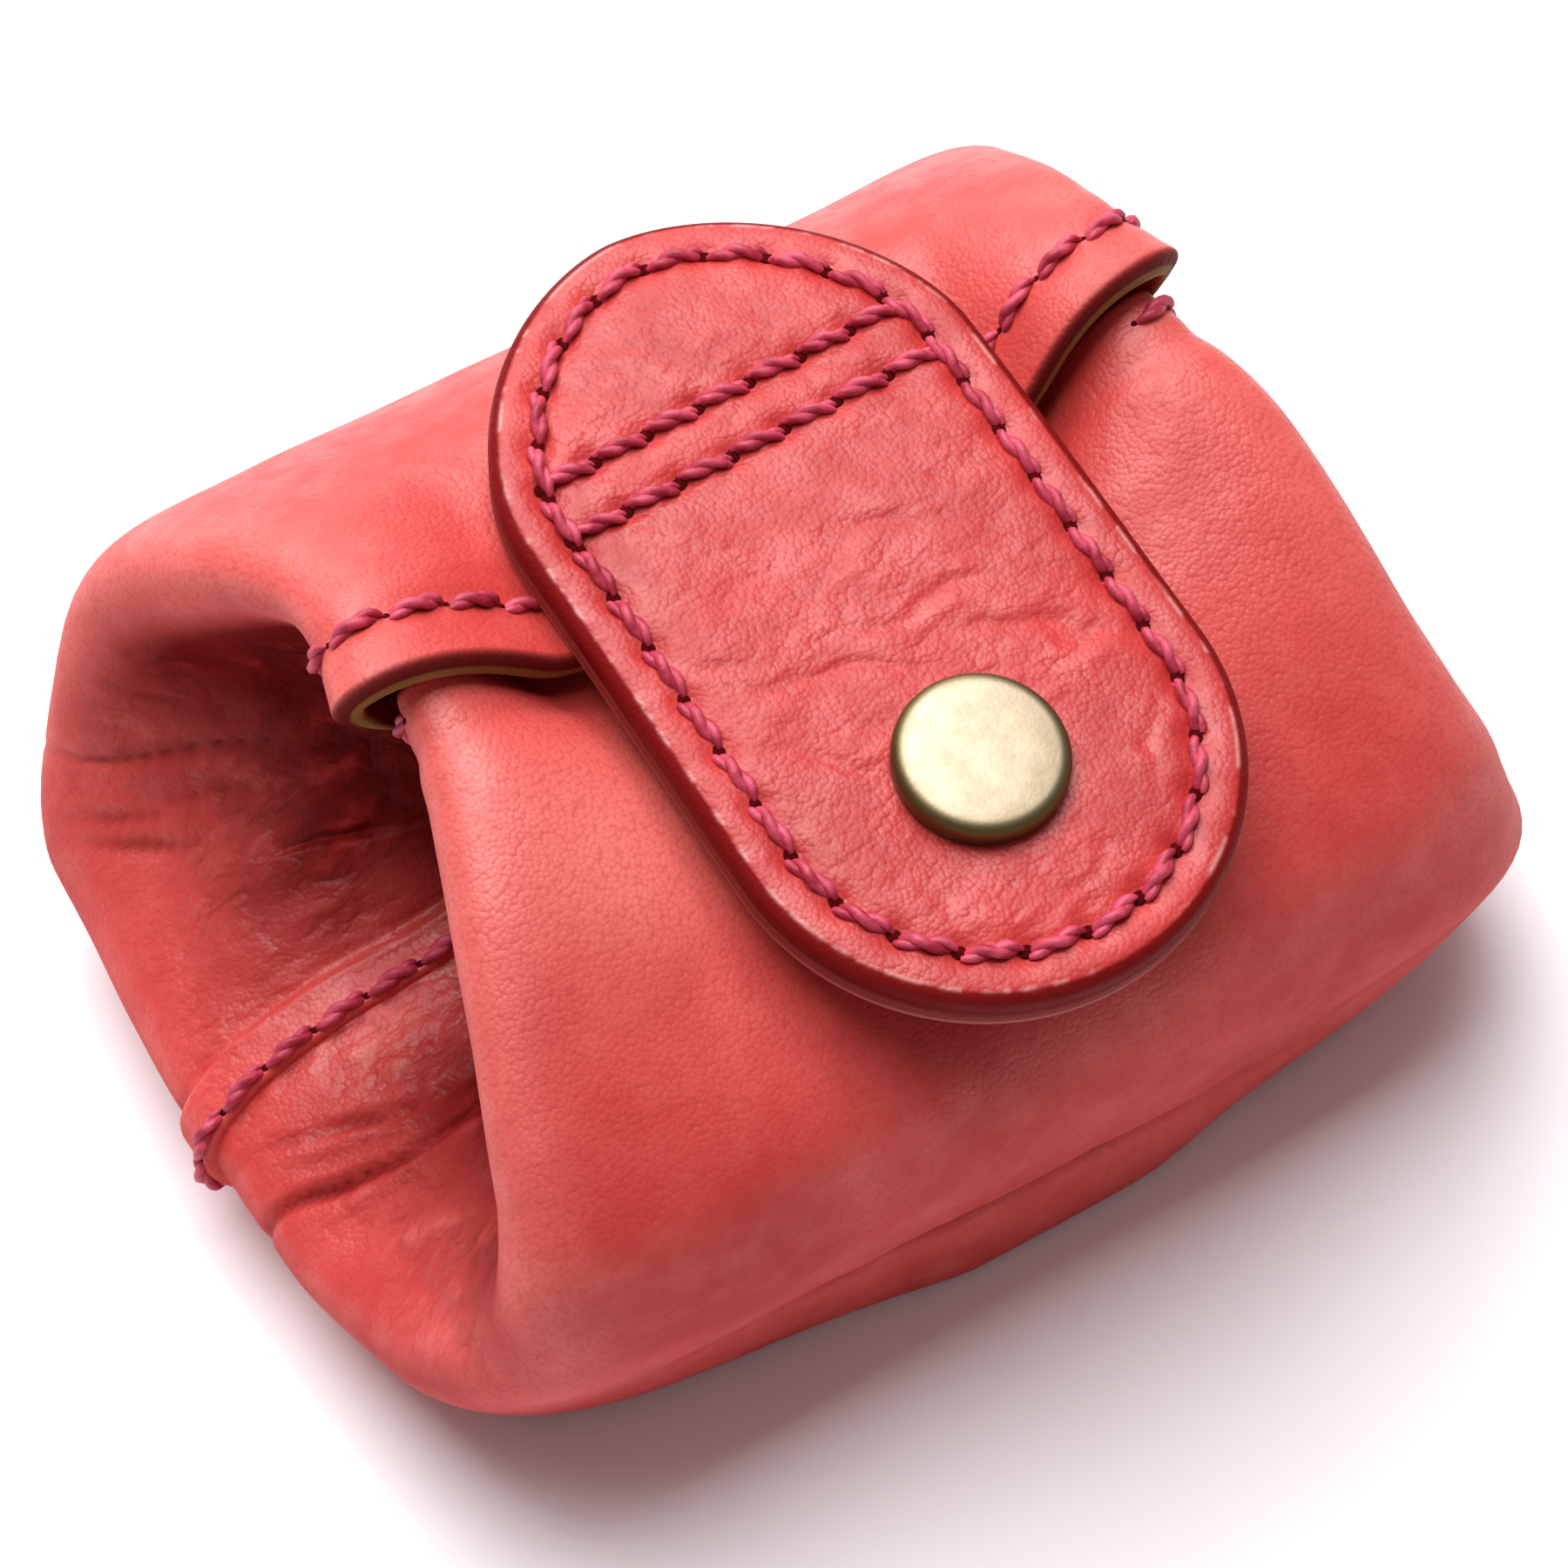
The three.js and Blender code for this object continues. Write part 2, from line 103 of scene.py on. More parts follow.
# %% A finish and its nodes
class Finish:
    """A material with one or two Principled shaders, whose nodes come from node()."""

    def __init__(self, name, **constants):
        self.material = bpy.data.materials.new(name)
        self.material.use_nodes = True
        self.tree = self.material.node_tree
        self.shaders = [self.tree.nodes["Principled BSDF"]]
        self.place = self.node("ShaderNodeTexCoord", output="Object")
        self.set(constants)

    def set(self, constants):
        """Constants on the newest shader."""
        for socket, value in constants.items():
            self.shaders[-1].inputs[socket.replace("_", " ")].default_value = value

    def second(self, share, **constants):
        """A second shader with other constants, which takes over by a share."""
        self.shaders.append(self.tree.nodes.new("ShaderNodeBsdfPrincipled"))
        self.set(constants)
        both = self.tree.nodes.new("ShaderNodeMixShader")
        self.tree.links.new(share.socket, both.inputs[0])
        for k, shader in enumerate(self.shaders):
            self.tree.links.new(shader.outputs[0], both.inputs[k + 1])
        self.tree.links.new(both.outputs[0], self.tree.nodes["Material Output"].inputs["Surface"])

    def node(self, kind, settings=None, inputs=None, output=0):
        """A new node, with levels linked to its inputs and numbers set on them."""
        made = self.tree.nodes.new(kind)
        for name, value in (settings or {}).items():
            setattr(made, name, value)
        for name, value in (inputs or {}).items():
            if isinstance(value, Level):
                self.tree.links.new(value.socket, made.inputs[name])
            else:
                made.inputs[name].default_value = value
        return Level(self, made.outputs[output])

    def feed(self, **sockets):
        """Levels linked to every shader."""
        for name, level in sockets.items():
            for shader in self.shaders:
                self.tree.links.new(level.socket, shader.inputs[name.replace("_", " ")])

    def noise(self, size, detail=2.0, rough=0.5, place=None):
        """Smooth noise with features about size millimetres across."""
        inputs = {"Vector": place or self.place, "Detail": detail, "Roughness": rough}
        inputs["Scale"] = 1 / (size * MM)
        return self.node("ShaderNodeTexNoise", inputs=inputs)

    def billow(self, size, place):
        """Round pillows about size millimetres across with sharp creases between them: twice the
        distance of smooth noise from its mean."""
        off_mean = self.noise(size, place=place) - 0.5
        return off_mean.sum("ABSOLUTE", off_mean, 0.0) * 2

    def attribute(self, name):
        """A value from the piece's points."""
        return self.node("ShaderNodeAttribute", {"attribute_name": name}, output="Fac")

    def blend(self, share, first, second):
        """A mix of two colours."""
        ends = {0: share, 6: first, 7: second}
        return self.node("ShaderNodeMix", {"data_type": "RGBA"}, ends, output=2)

    def bump(self, height, depth, below=None):
        """A bump whose height of 1 stands for depth millimetres, on top of another bump."""
        inputs = {"Height": height, "Distance": depth * MM, "Strength": 1.0}
        if below is not None:
            inputs["Normal"] = below
        return self.node("ShaderNodeBump", inputs=inputs)


def linear(red, green, blue):
    """A screen colour of 0 to 255 as the light that it stands for."""
    screen = np.array([red, green, blue]) / 255
    light = np.where(screen <= 0.04045, screen / 12.92, ((screen + 0.055) / 1.055) ** 2.4)
    return (*light, 1.0)


# %% [markdown]
# ## From arrays to meshes
# Each leather piece is a closed sheet: two faces on either side of a middle surface, which sink into
# one another at the sheet's edge as a rounded, rubbed cut. A Solidify modifier could thicken a single
# face, but it leaves a square edge. Equal corners are welded, so that seams and poles are closed.


# %% Sheets, welding and placing
WELDS_PER_MM = 1e4


def grid_quads(*sizes):
    """The quads of one grid or several, whose last two sizes are rows and columns."""
    number = np.arange(np.prod(sizes)).reshape(sizes)
    near, far = number[..., :-1, :], number[..., 1:, :]
    corners = [near[..., :-1], near[..., 1:], far[..., 1:], far[..., :-1]]
    return np.stack(corners, -1).reshape(-1, 4)


def sheet(middle, normal, half_thickness, edge_distance, rounding):
    """Two faces at middle plus and minus normal times a height. The height is half the thickness, and
    within the rounding of an edge it falls to 0 as (1 - (1 - d / rounding)^3)^(1/3)."""
    left = np.clip(1 - edge_distance / rounding, 0, 1)
    rise = (1 - left**3) ** (1 / 3)
    step = normal * (half_thickness * rise)[..., None]
    quads = grid_quads(*rise.shape)
    points = np.concatenate([(middle + step).reshape(-1, 3), (middle - step).reshape(-1, 3)])
    faces = np.concatenate([quads, quads[:, ::-1] + rise.size])
    return points, faces, np.append(rise, -rise)


def weld(points, quads):
    """Equal points become one, and a quad that loses a corner becomes a triangle."""
    places = np.round(points * WELDS_PER_MM)
    _, first, number = np.unique(places, axis=0, return_index=True, return_inverse=True)
    quads = number.reshape(-1)[quads]
    repeats = quads == np.roll(quads, -1, axis=1)
    count = repeats.sum(1)
    triangles = quads[count == 1][~repeats[count == 1]].reshape(-1, 3)
    return first, quads[count == 0].tolist() + triangles.tolist()


def add_piece(name, points, quads, finish, values=None, replaced=None):
    """A smooth mesh from millimetre points, with a value of each kind at every point."""
    first, faces = weld(points, quads)
    mesh = bpy.data.meshes.new(name)
    mesh.from_pydata(((points[first] + ORIGIN) * MM).tolist(), [], faces)
    mesh.polygons.foreach_set("use_smooth", np.ones(len(faces), bool))
    for kind, value in (values or {}).items():
        layer = mesh.attributes.new(kind, "FLOAT", "POINT")
        layer.data.foreach_set("value", value[first].astype(np.float32))
    mesh.materials.append(finish.material)
    piece = bpy.data.objects.new(name, mesh)
    bpy.context.scene.collection.objects.link(piece)
    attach(piece, "root")
    if replaced:
        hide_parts(replaced)
    print(name, len(mesh.vertices), "points,", len(faces), "faces")


# %% [markdown]
# Leather is never even. Random values on a cubic lattice, the same each run, give its swells.

# %% Uneven swells, bells and ramps
LATTICE = 256


def lattice_noise(points, size, seed):
    """Random values from -1 to 1 on a cubic lattice, with smooth steps between them."""
    rng = np.random.default_rng(seed)
    shuffled = rng.permutation(LATTICE)
    values = rng.uniform(-1, 1, LATTICE)
    scaled = points / size
    cell = np.floor(scaled).astype(int)
    t = scaled - cell
    t = t * t * (3 - 2 * t)
    total = 0
    for corner in np.ndindex(2, 2, 2):
        x, y, z = np.moveaxis(cell + corner, -1, 0)
        column = shuffled[(shuffled[x % LATTICE] + y) % LATTICE]
        weight = np.where(corner, t, 1 - t).prod(-1)
        total = total + values[shuffled[(column + z) % LATTICE]] * weight
    return total


def uneven(points, layers, seed):
    """A sum of lattice noise, with a height and a size for each layer."""
    total = 0
    for k, (height, size) in enumerate(layers):
        total = total + height * lattice_noise(points, size, seed + k)
    return total


def norm(vectors):
    """The length of each vector."""
    return np.linalg.norm(vectors, axis=-1)


def unit(vectors):
    """Each vector divided by its length."""
    return vectors / (norm(vectors)[..., None] + 1e-12)


def bell(distance, width):
    """1 at a distance of 0, falling off as exp(-(distance / width)^2)."""
    return np.exp(-((distance / width) ** 2))


def rising(value, start, length):
    """0 up to a start, then a straight line up to 1 over a length."""
    return np.clip((value - start) / length, 0, 1)


# %% [markdown]
# ## The leather's finish
# Full-grain leather, dyed coral red: a fine grain, pillows between wrinkles, a cloudy dye, pale folds,
# and cut edges where the dye stops part of the way down. Grain and wrinkles are bump, clouds are
# colour, and folds, hollows and edges come from values on each piece's points. Painted shade darkens
# the hollows and the creases, a painted highlight lightens the pillow tops, and a painted sheen lies on
# the front's top. Gloss would turn the hollows and the cut edges grey, so a second, dull shader takes
# over there.

# %% The leather's pattern
PILLOW_SIZES = (3.6, 1.5)
SMALL_PILLOWS = 0.4
PILLOW_STRETCH = (0.6, 1.0, 1.0)
PILLOW_HEIGHT = 0.26
GRAIN_SIZE = 0.3
GRAIN_HEIGHT = 0.034
BLOTCH_SIZE = 2.6
CLOUD_SIZE = 11
CREASED_PATCH = 8
SHINY = 1.5
DULL = 1.12
ROUGHEST = 0.82
GLOSS = 0.44
# The darkest painted shade, deep in the hollows' creases.
CREASE_SHADE_RED = linear(58, 2, 4)


def leather(name, deep, main, pale, shade, edge_dye, core, worn):
    """Coral leather. Its wrinkles are deep where the creased value is 1, its gloss is that of the
    polished value, and a value for the hollows and the wrinkles' grooves paints shade on it in dark red
    and dulls it."""
    finish = Finish(name, IOR=SHINY)
    wear_and_sheen = finish.attribute("wear_and_sheen")
    cut = finish.attribute("cut")
    painted_shade_and_dullness = finish.attribute("painted_shade_and_dullness")
    stretch = {0: finish.place, 1: PILLOW_STRETCH}
    stretched = finish.node("ShaderNodeVectorMath", {"operation": "MULTIPLY"}, stretch)
    large, small = [finish.billow(size, stretched) for size in PILLOW_SIZES]
    pillows = large + small * SMALL_PILLOWS
    patches = finish.noise(CREASED_PATCH).ramp(0.35, 0.6)
    creased = finish.attribute("creased") * (0.3 + 0.7 * patches)
    grain = {"Vector": finish.place, "Scale": 1 / (GRAIN_SIZE * MM)}
    pebbles = finish.node("ShaderNodeTexVoronoi", {"feature": "F1"}, grain)
    clouds = finish.noise(CLOUD_SIZE, 4, 0.55)
    blotches = finish.noise(BLOTCH_SIZE, 3, 0.6)

    colour = finish.blend(clouds.ramp(0.25, 0.75), deep, main)
    # Paler where folds are worn, and a painted sheen on the front's top.
    colour = finish.blend(blotches.ramp(0.35, 0.85) * 0.25 + wear_and_sheen * 0.35, colour, pale)
    # Paler pillow tops: a painted highlight.
    pillow_highlight = pillows.ramp(0.3, 0.7) * creased
    colour = finish.blend(pillow_highlight * 0.35, colour, pale)
    # Dark lines in the creases between pillows: painted shade.
    crease_line_shade = (1 - pillows.ramp(0.02, 0.16)) * creased * (1 - painted_shade_and_dullness)
    colour = finish.blend(pebbles.ramp(0.4, 0.85) * 0.3 + crease_line_shade * 0.4, colour, deep)
    # Painted shade: the hollows and the wrinkles' grooves turn dark red.
    colour = finish.blend(painted_shade_and_dullness * 0.9, colour, shade)
    # A painted highlight on the pillow tops inside the hollows.
    colour = finish.blend(pillow_highlight * painted_shade_and_dullness * 0.2, colour, deep)
    # Painted shade, deepest in the creases inside the hollows.
    crease_shade = (1 - pillows.ramp(0.0, 0.6)) * creased * painted_shade_and_dullness
    colour = finish.blend(crease_shade * 0.25, colour, CREASE_SHADE_RED)
    edge = finish.blend(finish.attribute("height").ramp(-0.25, 0.1), core, edge_dye)
    colour = finish.blend(cut, colour, edge)
    rubbed = finish.attribute("rubbed") * blotches.ramp(0.46, 0.58)
    colour = finish.blend(rubbed * 0.65, colour, worn)

    bumps = finish.bump(pillows * creased, PILLOW_HEIGHT)
    bumps = finish.bump(blotches * 0.8 - pebbles * pebbles, GRAIN_HEIGHT, bumps)
    gloss = finish.attribute("polished") * (0.75 + 0.25 * blotches.ramp(0.35, 0.65))
    finish.second(1 - (1 - painted_shade_and_dullness * 0.95) * (1 - cut), IOR=DULL)
    finish.feed(Base_Color=colour, Roughness=ROUGHEST - gloss * GLOSS, Normal=bumps)
    print(name, len(finish.tree.nodes), "nodes")
    return finish


# %% The three leathers
# Deep, main and pale dye, the painted shade of a hollow, the dyed edge, the core and the worn edge.
LEATHERS = {
    "coral_body_leather": [
        *((193, 49, 45), (219, 75, 70), (240, 124, 116), (112, 4, 4)),
        *((104, 26, 24), (134, 100, 54), (226, 120, 112)),
    ],
    "coral_tab_leather": [
        *((176, 34, 33), (204, 54, 51), (230, 108, 104), (112, 8, 8)),
        *((122, 20, 20), (110, 16, 16), (226, 158, 152)),
    ],
    "backing_leather": [
        *((150, 52, 50), (176, 74, 70), (200, 110, 104), (112, 8, 8)),
        *((140, 52, 48), (168, 92, 86), (196, 128, 120)),
    ],
}
body_leather, tab_leather, backing_leather = [
    leather(name, *[linear(*colour) for colour in colours]) for name, colours in LEATHERS.items()
]

# %% [markdown]
# ## The body's two panels
# The purse is a stack of closed loops from the base to the mouth. Each loop's sides are tucked in, so
# that the stack folds into a hollow on either side. A few rows of named sizes drive all of it: they
# are read along smooth curves, and each loop is a line of straights with rounded corners.


# %% The tables that shape the body
def table(names, rows):
    """The named columns of a table, each an array with one value for each level of the body."""
    return dict(zip(names.split(), np.array(rows, float).T))


LEATHER = 1.8
GAP = 0.3
UNDERLAP = 1.6
UNDERLAP_LEVEL = 0.5
TAB_OFFSET = 1.6
MIDDLE_SLUMP = 0.3
PRESS_FADE = 2.0
RIGHT_RIM_FADE = 3.0

# From the base to the rim: the panel's middle, how far out its folds lie and their rounding. The tab
# presses the middle down by sag over the flat width. skew turns the panel, and behind and narrow draw
# its right fold in.
FRONT = table("y z half_width round sag bow flat skew behind narrow", [
    [-23, 0.9, 30.6, 13, 0, 3, 7, 1.4, 0, 0],
    [-26.4, 11.2, 37, 17, 0, 0.6, 7, 1.4, 0, 0],
    [-28.4, 19.4, 36.4, 17, 0, 0, 8, 0.8, 0, 0],
    [-26, 26.7, 36.6, 11, 0.4, 0, 9, 0.4, 0, 0.2],
    [-16.8, 33, 33.6, 7, 2.8, 0, 10, 0, 0, 1],
    [-5.2, 38, 30.8, 7, 4.8, 0, 13, 0, 0.4, 0.5],
    [4.6, 39.7, 26.8, 7, 6.4, 0, 18.2, 0, 0.6, 0],
])

# The corner in the tuck's front wall: a share of the way from fold to floor, then pulled.
PULL = table("share inward back down round", [
    [0.85, 0, 0, 0, 3],
    [0.85, 0, 0, 0, 3],
    [0.65, 3.5, 0, 1.5, 8],
    [0.5, 8, 0, 2.5, 8],
    [0.5, 7, 0, 1, 7],
    [0.5, 3, 0.6, 0, 5],
    [0.5, 0, 1.8, 0, 4],
])

# The tuck's floor: its middle, its width and the rounding of its two corners.
TUCK = table("x y z floor round", [
    [35, -0.5, 0.9, 15, 9],
    [39.8, 0.6, 7.6, 16, 11],
    [36.6, 1.6, 10.4, 13, 9],
    [30.4, 1.8, 12.6, 9.5, 7],
    [21, 1.6, 14.8, 7, 4.5],
    [14.8, 4.6, 18.8, 4.8, 3.5],
    [11.3, 7.2, 21.6, 3.4, 2],
])

# The corner half way down the tuck's back wall, which swings out.
SWING = table("out back up round", [
    [0, 0, 0, 9],
    [0, 0, 0, 10],
    [-6, 0, -0.5, 10],
    [-11, 0, 0, 9],
    [-9, 0.6, 0.4, 7],
    [-4, 2.2, 1.4, 6],
    [5.4, 1, 0.2, 5.2],
])

# As the front panel. The tab draws the middle forward, the right side slumps, and the left is wider.
BACK = table("y z half_width round sag draw flat slump wider", [
    [24, 0.9, 30.8, 13, 0, 0, 15.6, 0, 0],
    [28.8, 9.5, 37.9, 16, 0, 0, 15.6, 0.6, 0],
    [30.8, 20, 36.6, 14, 0, 0, 15.6, 1.6, 0],
    [27.8, 30.6, 35, 11, 0, 0, 15.6, 2.6, 0],
    [19.8, 38.4, 31.6, 8, 0.8, 0, 15.6, 2.6, 0],
    [12, 41.2, 29, 7.5, 3.6, 0.9, 15.6, 0.8, 1.6],
    [3.4, 42.8, 28.4, 6, 6.2, 1.6, 15.6, -0.8, 2.4],
])

# How far each loop leans to the right.
LEAN = table("x", [[-0.3], [0.1], [-0.5], [-0.6], [0.4], [2.4], [2.6]])
print("levels of the body:", len(LEAN["x"]))


# %% Reading the tables
def read(columns, heights):
    """A Catmull-Rom curve through each column, read at heights counted in rows. Below the base row the
    heights turn back up, so that every wall leaves the base flat."""
    k = np.minimum(heights.astype(int), len(LEAN["x"]) - 2)
    t = heights - k
    values = {}
    for name, column in columns.items():
        below = column[1] if name == "z" else 2 * column[0] - column[1]
        row = np.concatenate([[below], column, [2 * column[-1] - column[-2]]])
        a, b, c, d = row[k], row[k + 1], row[k + 2], row[k + 3]
        turn = (2 * a - 5 * b + 4 * c - d) * t**2
        bend = (-a + 3 * b - 3 * c + d) * t**3
        values[name] = 0.5 * (2 * b + (c - a) * t + turn + bend)
    return values


def xyz(x, y, z):
    """Points from three coordinates."""
    return np.stack(np.broadcast_arrays(x, y, z), -1)


def even(count):
    """Even shares from 0 to just below 1."""
    return np.arange(count) / count


# %% Rounding and pressing the loops
CORNER_STEPS = even(16)
LONGEST_ROUNDING = 0.48
TOWARDS_SEAM = np.append(0.88 * even(18), [0.88, 0.93, 0.96, 0.98, 0.992])


def rounded_line(points, rounds, straights):
    """A row of points for every height: straights between corners, and a parabola in each corner that
    has a rounding, which starts and ends that far from it."""
    line = []
    start = points[0]
    for k in range(1, len(points)):
        corner = points[k]

        def reach(other):
            share = np.minimum(rounds[k] / norm(other - corner), LONGEST_ROUNDING)
            return corner + (other - corner) * share[:, None]

        rounded = k < len(rounds) and rounds[k] is not None
        stop = reach(points[k - 1]) if rounded else corner
        t = straights[k - 1][None, :, None]
        line.append(start[:, None] * (1 - t) + stop[:, None] * t)
        start = corner
        if rounded:
            start = reach(points[k + 1])
            t = CORNER_STEPS[None, :, None]
            leaving = stop[:, None] * (1 - t) ** 2
            turning = corner[:, None] * 2 * t * (1 - t)
            arriving = start[:, None] * t**2
            line.append(leaving + turning + arriving)
    line.append(start[:, None])
    return np.concatenate(line, axis=1)


def press(line, fold, offset, flat, shift, fade):
    """The tab pushes a panel's middle by shift: fully under the tab, and by (1 - t)^fade at a share t
    of the way from the tab's edge to the fold."""
    aside = np.abs(line[..., 0] - offset[:, None])
    t = np.clip((aside - flat[:, None]) / (aside[:, fold] - flat)[:, None], 0, 1)
    share = (1 - t) ** fade
    share[:, fold + 1:] = 0
    return line + share[..., None] * shift[:, None]


# %% Half a loop of the front panel
FRONT_STRAIGHTS = [even(12), even(16), even(16), even(18), TOWARDS_SEAM]
BACK_STRAIGHTS = [even(12), even(16), even(18), even(26), TOWARDS_SEAM]


def fold_index(straights):
    """The points from a half loop's start to the middle of its fold."""
    return len(straights[0]) + len(straights[1]) + len(CORNER_STEPS) // 2


def front_half(heights, side):
    """From the front panel's middle, past the pressed part, round the fold and down the tuck."""
    offset = TAB_OFFSET - read(LEAN, heights)["x"]
    front = read(FRONT, heights)
    tuck = read(TUCK, heights)
    pull = read(PULL, heights)
    middle = xyz(0, front["y"], front["z"])
    behind = front["behind"] if side > 0 else 0
    narrow = front["narrow"] if side > 0 else 0
    fold_y = front["y"] - side * front["skew"] + behind
    corner = xyz(side * (front["half_width"] - narrow), fold_y, front["z"])
    share = (offset + side * front["flat"]) / corner[:, 0]
    crease = middle + (corner - middle) * share[:, None]
    floor = xyz(side * tuck["x"], tuck["y"] - tuck["floor"] / 2, tuck["z"])
    pulled = xyz(-side * pull["inward"], pull["back"], -pull["down"])
    wall = corner + (floor - corner) * pull["share"][:, None] + pulled
    underlap = UNDERLAP * rising(heights, 0, UNDERLAP_LEVEL)
    seam = xyz(side * tuck["x"], tuck["y"] - GAP / 2 + underlap, tuck["z"])
    points = [middle, crease, corner, wall, floor, seam]
    rounds = [None, None, front["round"], pull["round"], tuck["round"]]
    line = rounded_line(points, rounds, FRONT_STRAIGHTS)
    shift = xyz(0, -front["bow"], -front["sag"])
    return press(line, fold_index(FRONT_STRAIGHTS), offset, front["flat"], shift, PRESS_FADE)


# %% Half a loop of the back panel
def back_half(heights, side):
    """From the back panel's middle, past the pressed part, round the fold and down the tuck, whose
    back wall swings out near the mouth."""
    offset = TAB_OFFSET - read(LEAN, heights)["x"]
    back = read(BACK, heights)
    tuck = read(TUCK, heights)
    swing = read(SWING, heights)
    slump = back["slump"] if side > 0 else 0
    wider = back["wider"] if side < 0 else 0
    middle = xyz(0, back["y"] - MIDDLE_SLUMP * np.maximum(back["slump"], 0), back["z"])
    corner = xyz(side * (back["half_width"] + wider), back["y"] - slump, back["z"])
    share = (offset + side * back["flat"]) / corner[:, 0]
    crease = middle + (corner - middle) * share[:, None]
    floor = xyz(side * tuck["x"], tuck["y"] + tuck["floor"] / 2, tuck["z"])
    wall = (floor + corner) / 2 + xyz(side * swing["out"], swing["back"], swing["up"])
    seam = xyz(side * tuck["x"], tuck["y"] + GAP / 2, tuck["z"])
    points = [middle, crease, corner, wall, floor, seam]
    rounds = [None, None, back["round"], swing["round"], tuck["round"]]
    line = rounded_line(points, rounds, BACK_STRAIGHTS)
    shift = xyz(0, -back["draw"], -back["sag"])
    fade = RIGHT_RIM_FADE if side > 0 else PRESS_FADE
    return press(line, fold_index(BACK_STRAIGHTS), offset, back["flat"], shift, fade)


# %% [markdown]
# A whole panel is its two halves side by side, plus its part of the base. Its middle surface is
# smoothed a little, because leather has no sharp creases, and then pushed along its normals: swells,
# the groove that the rim's stitches pull, and the step where the back panel laps over the front panel.

# %% A panel's middle surface
HEIGHTS = np.concatenate([
    np.arange(0, 1.5, 1 / 18),
    np.arange(1.5, 3.5, 1 / 36),
    np.arange(3.5, 5.88, 1 / 18),
    [5.89, 5.93, 5.957, 5.974, 5.985, 5.993, 6],
])
BASE_SHARES = np.array([
    *(0, 0.004, 0.01, 0.02, 0.035, 0.06, 0.12),
    *(0.25, 0.4, 0.55, 0.7, 0.8, 0.88, 0.94, 0.98),
])
SOFTENINGS = 10
print("rows of a panel:", len(BASE_SHARES) + len(HEIGHTS))


def soften(grid):
    """Each point moves to a mean of itself and its two neighbours in the row, several times."""
    for _ in range(SOFTENINGS):
        grid[:, 1:-1] = grid[:, :-2] / 4 + grid[:, 1:-1] / 2 + grid[:, 2:] / 4
    return grid


def panel_surface(half, first_side):
    """Rows from the seam under the base, out to the base's edge and up to the rim. Each row runs
    anticlockwise seen from above."""
    near = half(HEIGHTS, first_side)[:, ::-1]
    far = half(HEIGHTS, -first_side)[:, 1:]
    walls = np.concatenate([near, far], axis=1)
    walls[..., 0] += read(LEAN, HEIGHTS)["x"][:, None]
    walls = soften(walls)
    seam_y = walls[0, 0, 1]
    base = np.repeat(walls[:1], len(BASE_SHARES), axis=0)
    base[..., 1] = seam_y + (base[..., 1] - seam_y) * BASE_SHARES[:, None]
    return np.concatenate([base, walls])


def surface_normals(grid):
    """The cross product of the directions along and up the grid. The base faces straight down."""
    normal = unit(np.cross(np.gradient(grid, axis=1), np.gradient(grid, axis=0)))
    normal[: len(BASE_SHARES) + 1] = (0, 0, -1)
    return normal


def lengths(grid, axis):
    """The distance along the grid from its first row or column, for every point."""
    steps = norm(np.diff(grid, axis=axis))
    start = np.zeros_like(np.take(steps, [0], axis=axis))
    return np.cumsum(np.concatenate([start, steps], axis=axis), axis=axis)


# %% [markdown]
# Used leather keeps its wrinkles. They could be sculpted, but a short table makes them the same each run.

# %% Wrinkles of the body
WRINKLES = table("x y z across_x across_y across_z reach depth", [
    [-29, 19.2, 20.4, 0.09, 0.57, 0.82, 9, 0.7],
    [-30, 17.5, 18.5, 0.32, 0.71, 0.62, 5, 0.6],
    [-35, 20.6, 15.1, 0.18, 0.7, 0.67, 3.5, 0.5],
    [-35, 18.8, 14.3, 0.3, 0.6, 0.73, 4, 0.6],
    [-25, 10.4, 18.6, 0.22, 0.8, 0.58, 5.5, 0.6],
    [-28, 19.5, 23, -0.07, 0.55, 0.82, 3.5, 0.5],
    [-31.5, 23.4, 27.2, -0.43, 0.58, 0.69, 3, 0.4],
    [-30.3, 21.8, 22.9, 0.12, 0.13, 0.98, 3.5, 0.4],
    [-26.5, 14.5, 19.5, 0.18, 0.83, 0.53, 5, 0.5],
    [-31.5, -4.2, 14, 0.39, 0.92, 0, 6, 0.8],
    [-34.5, -6.4, 13, 0.31, 0.92, -0.1, 8, 1],
    [-33, -5.4, 13.5, 0.35, 0.92, -0.05, 5, 0.4],
    [-28.2, -2.8, 14.6, 0.86, -0.41, 0.31, 2.5, 0.3],
    [-26.6, -2.5, 15, 0.88, -0.38, 0.3, 2.5, 0.3],
    [-4, -27.4, 10.3, 0.07, 0, 1, 16, 0.8],
])
WRINKLE_WIDTH = 0.42
WRINKLE_BENDS = [(0.7, 3.5)]
HOLLOW_X = 20.0
print("wrinkles:", len(WRINKLES["depth"]))


def wrinkle_depth(points):
    """Grooves, those of the left hollow also in the right one. Each is a bell of the distance from a
    plane, bent by noise, and fades out as a bell of the distance from its middle."""
    left = points * np.where(points[..., :1] > HOLLOW_X, (-1, 1, 1), (1, 1, 1))
    bend = uneven(points, WRINKLE_BENDS, 71)
    total = np.zeros(points.shape[:-1])
    for *middle, across_x, across_y, across_z, reach, depth in zip(*WRINKLES.values()):
        from_middle = left - middle
        off_plane = from_middle @ np.array([across_x, across_y, across_z]) + bend
        fade = bell(norm(from_middle), reach)
        total -= depth * bell(off_plane, WRINKLE_WIDTH) * fade
    return total


# %% [markdown]
# Values on a panel's points tell its finish where it is worn, cut, creased or polished, and where shade
# and a sheen are painted on it.

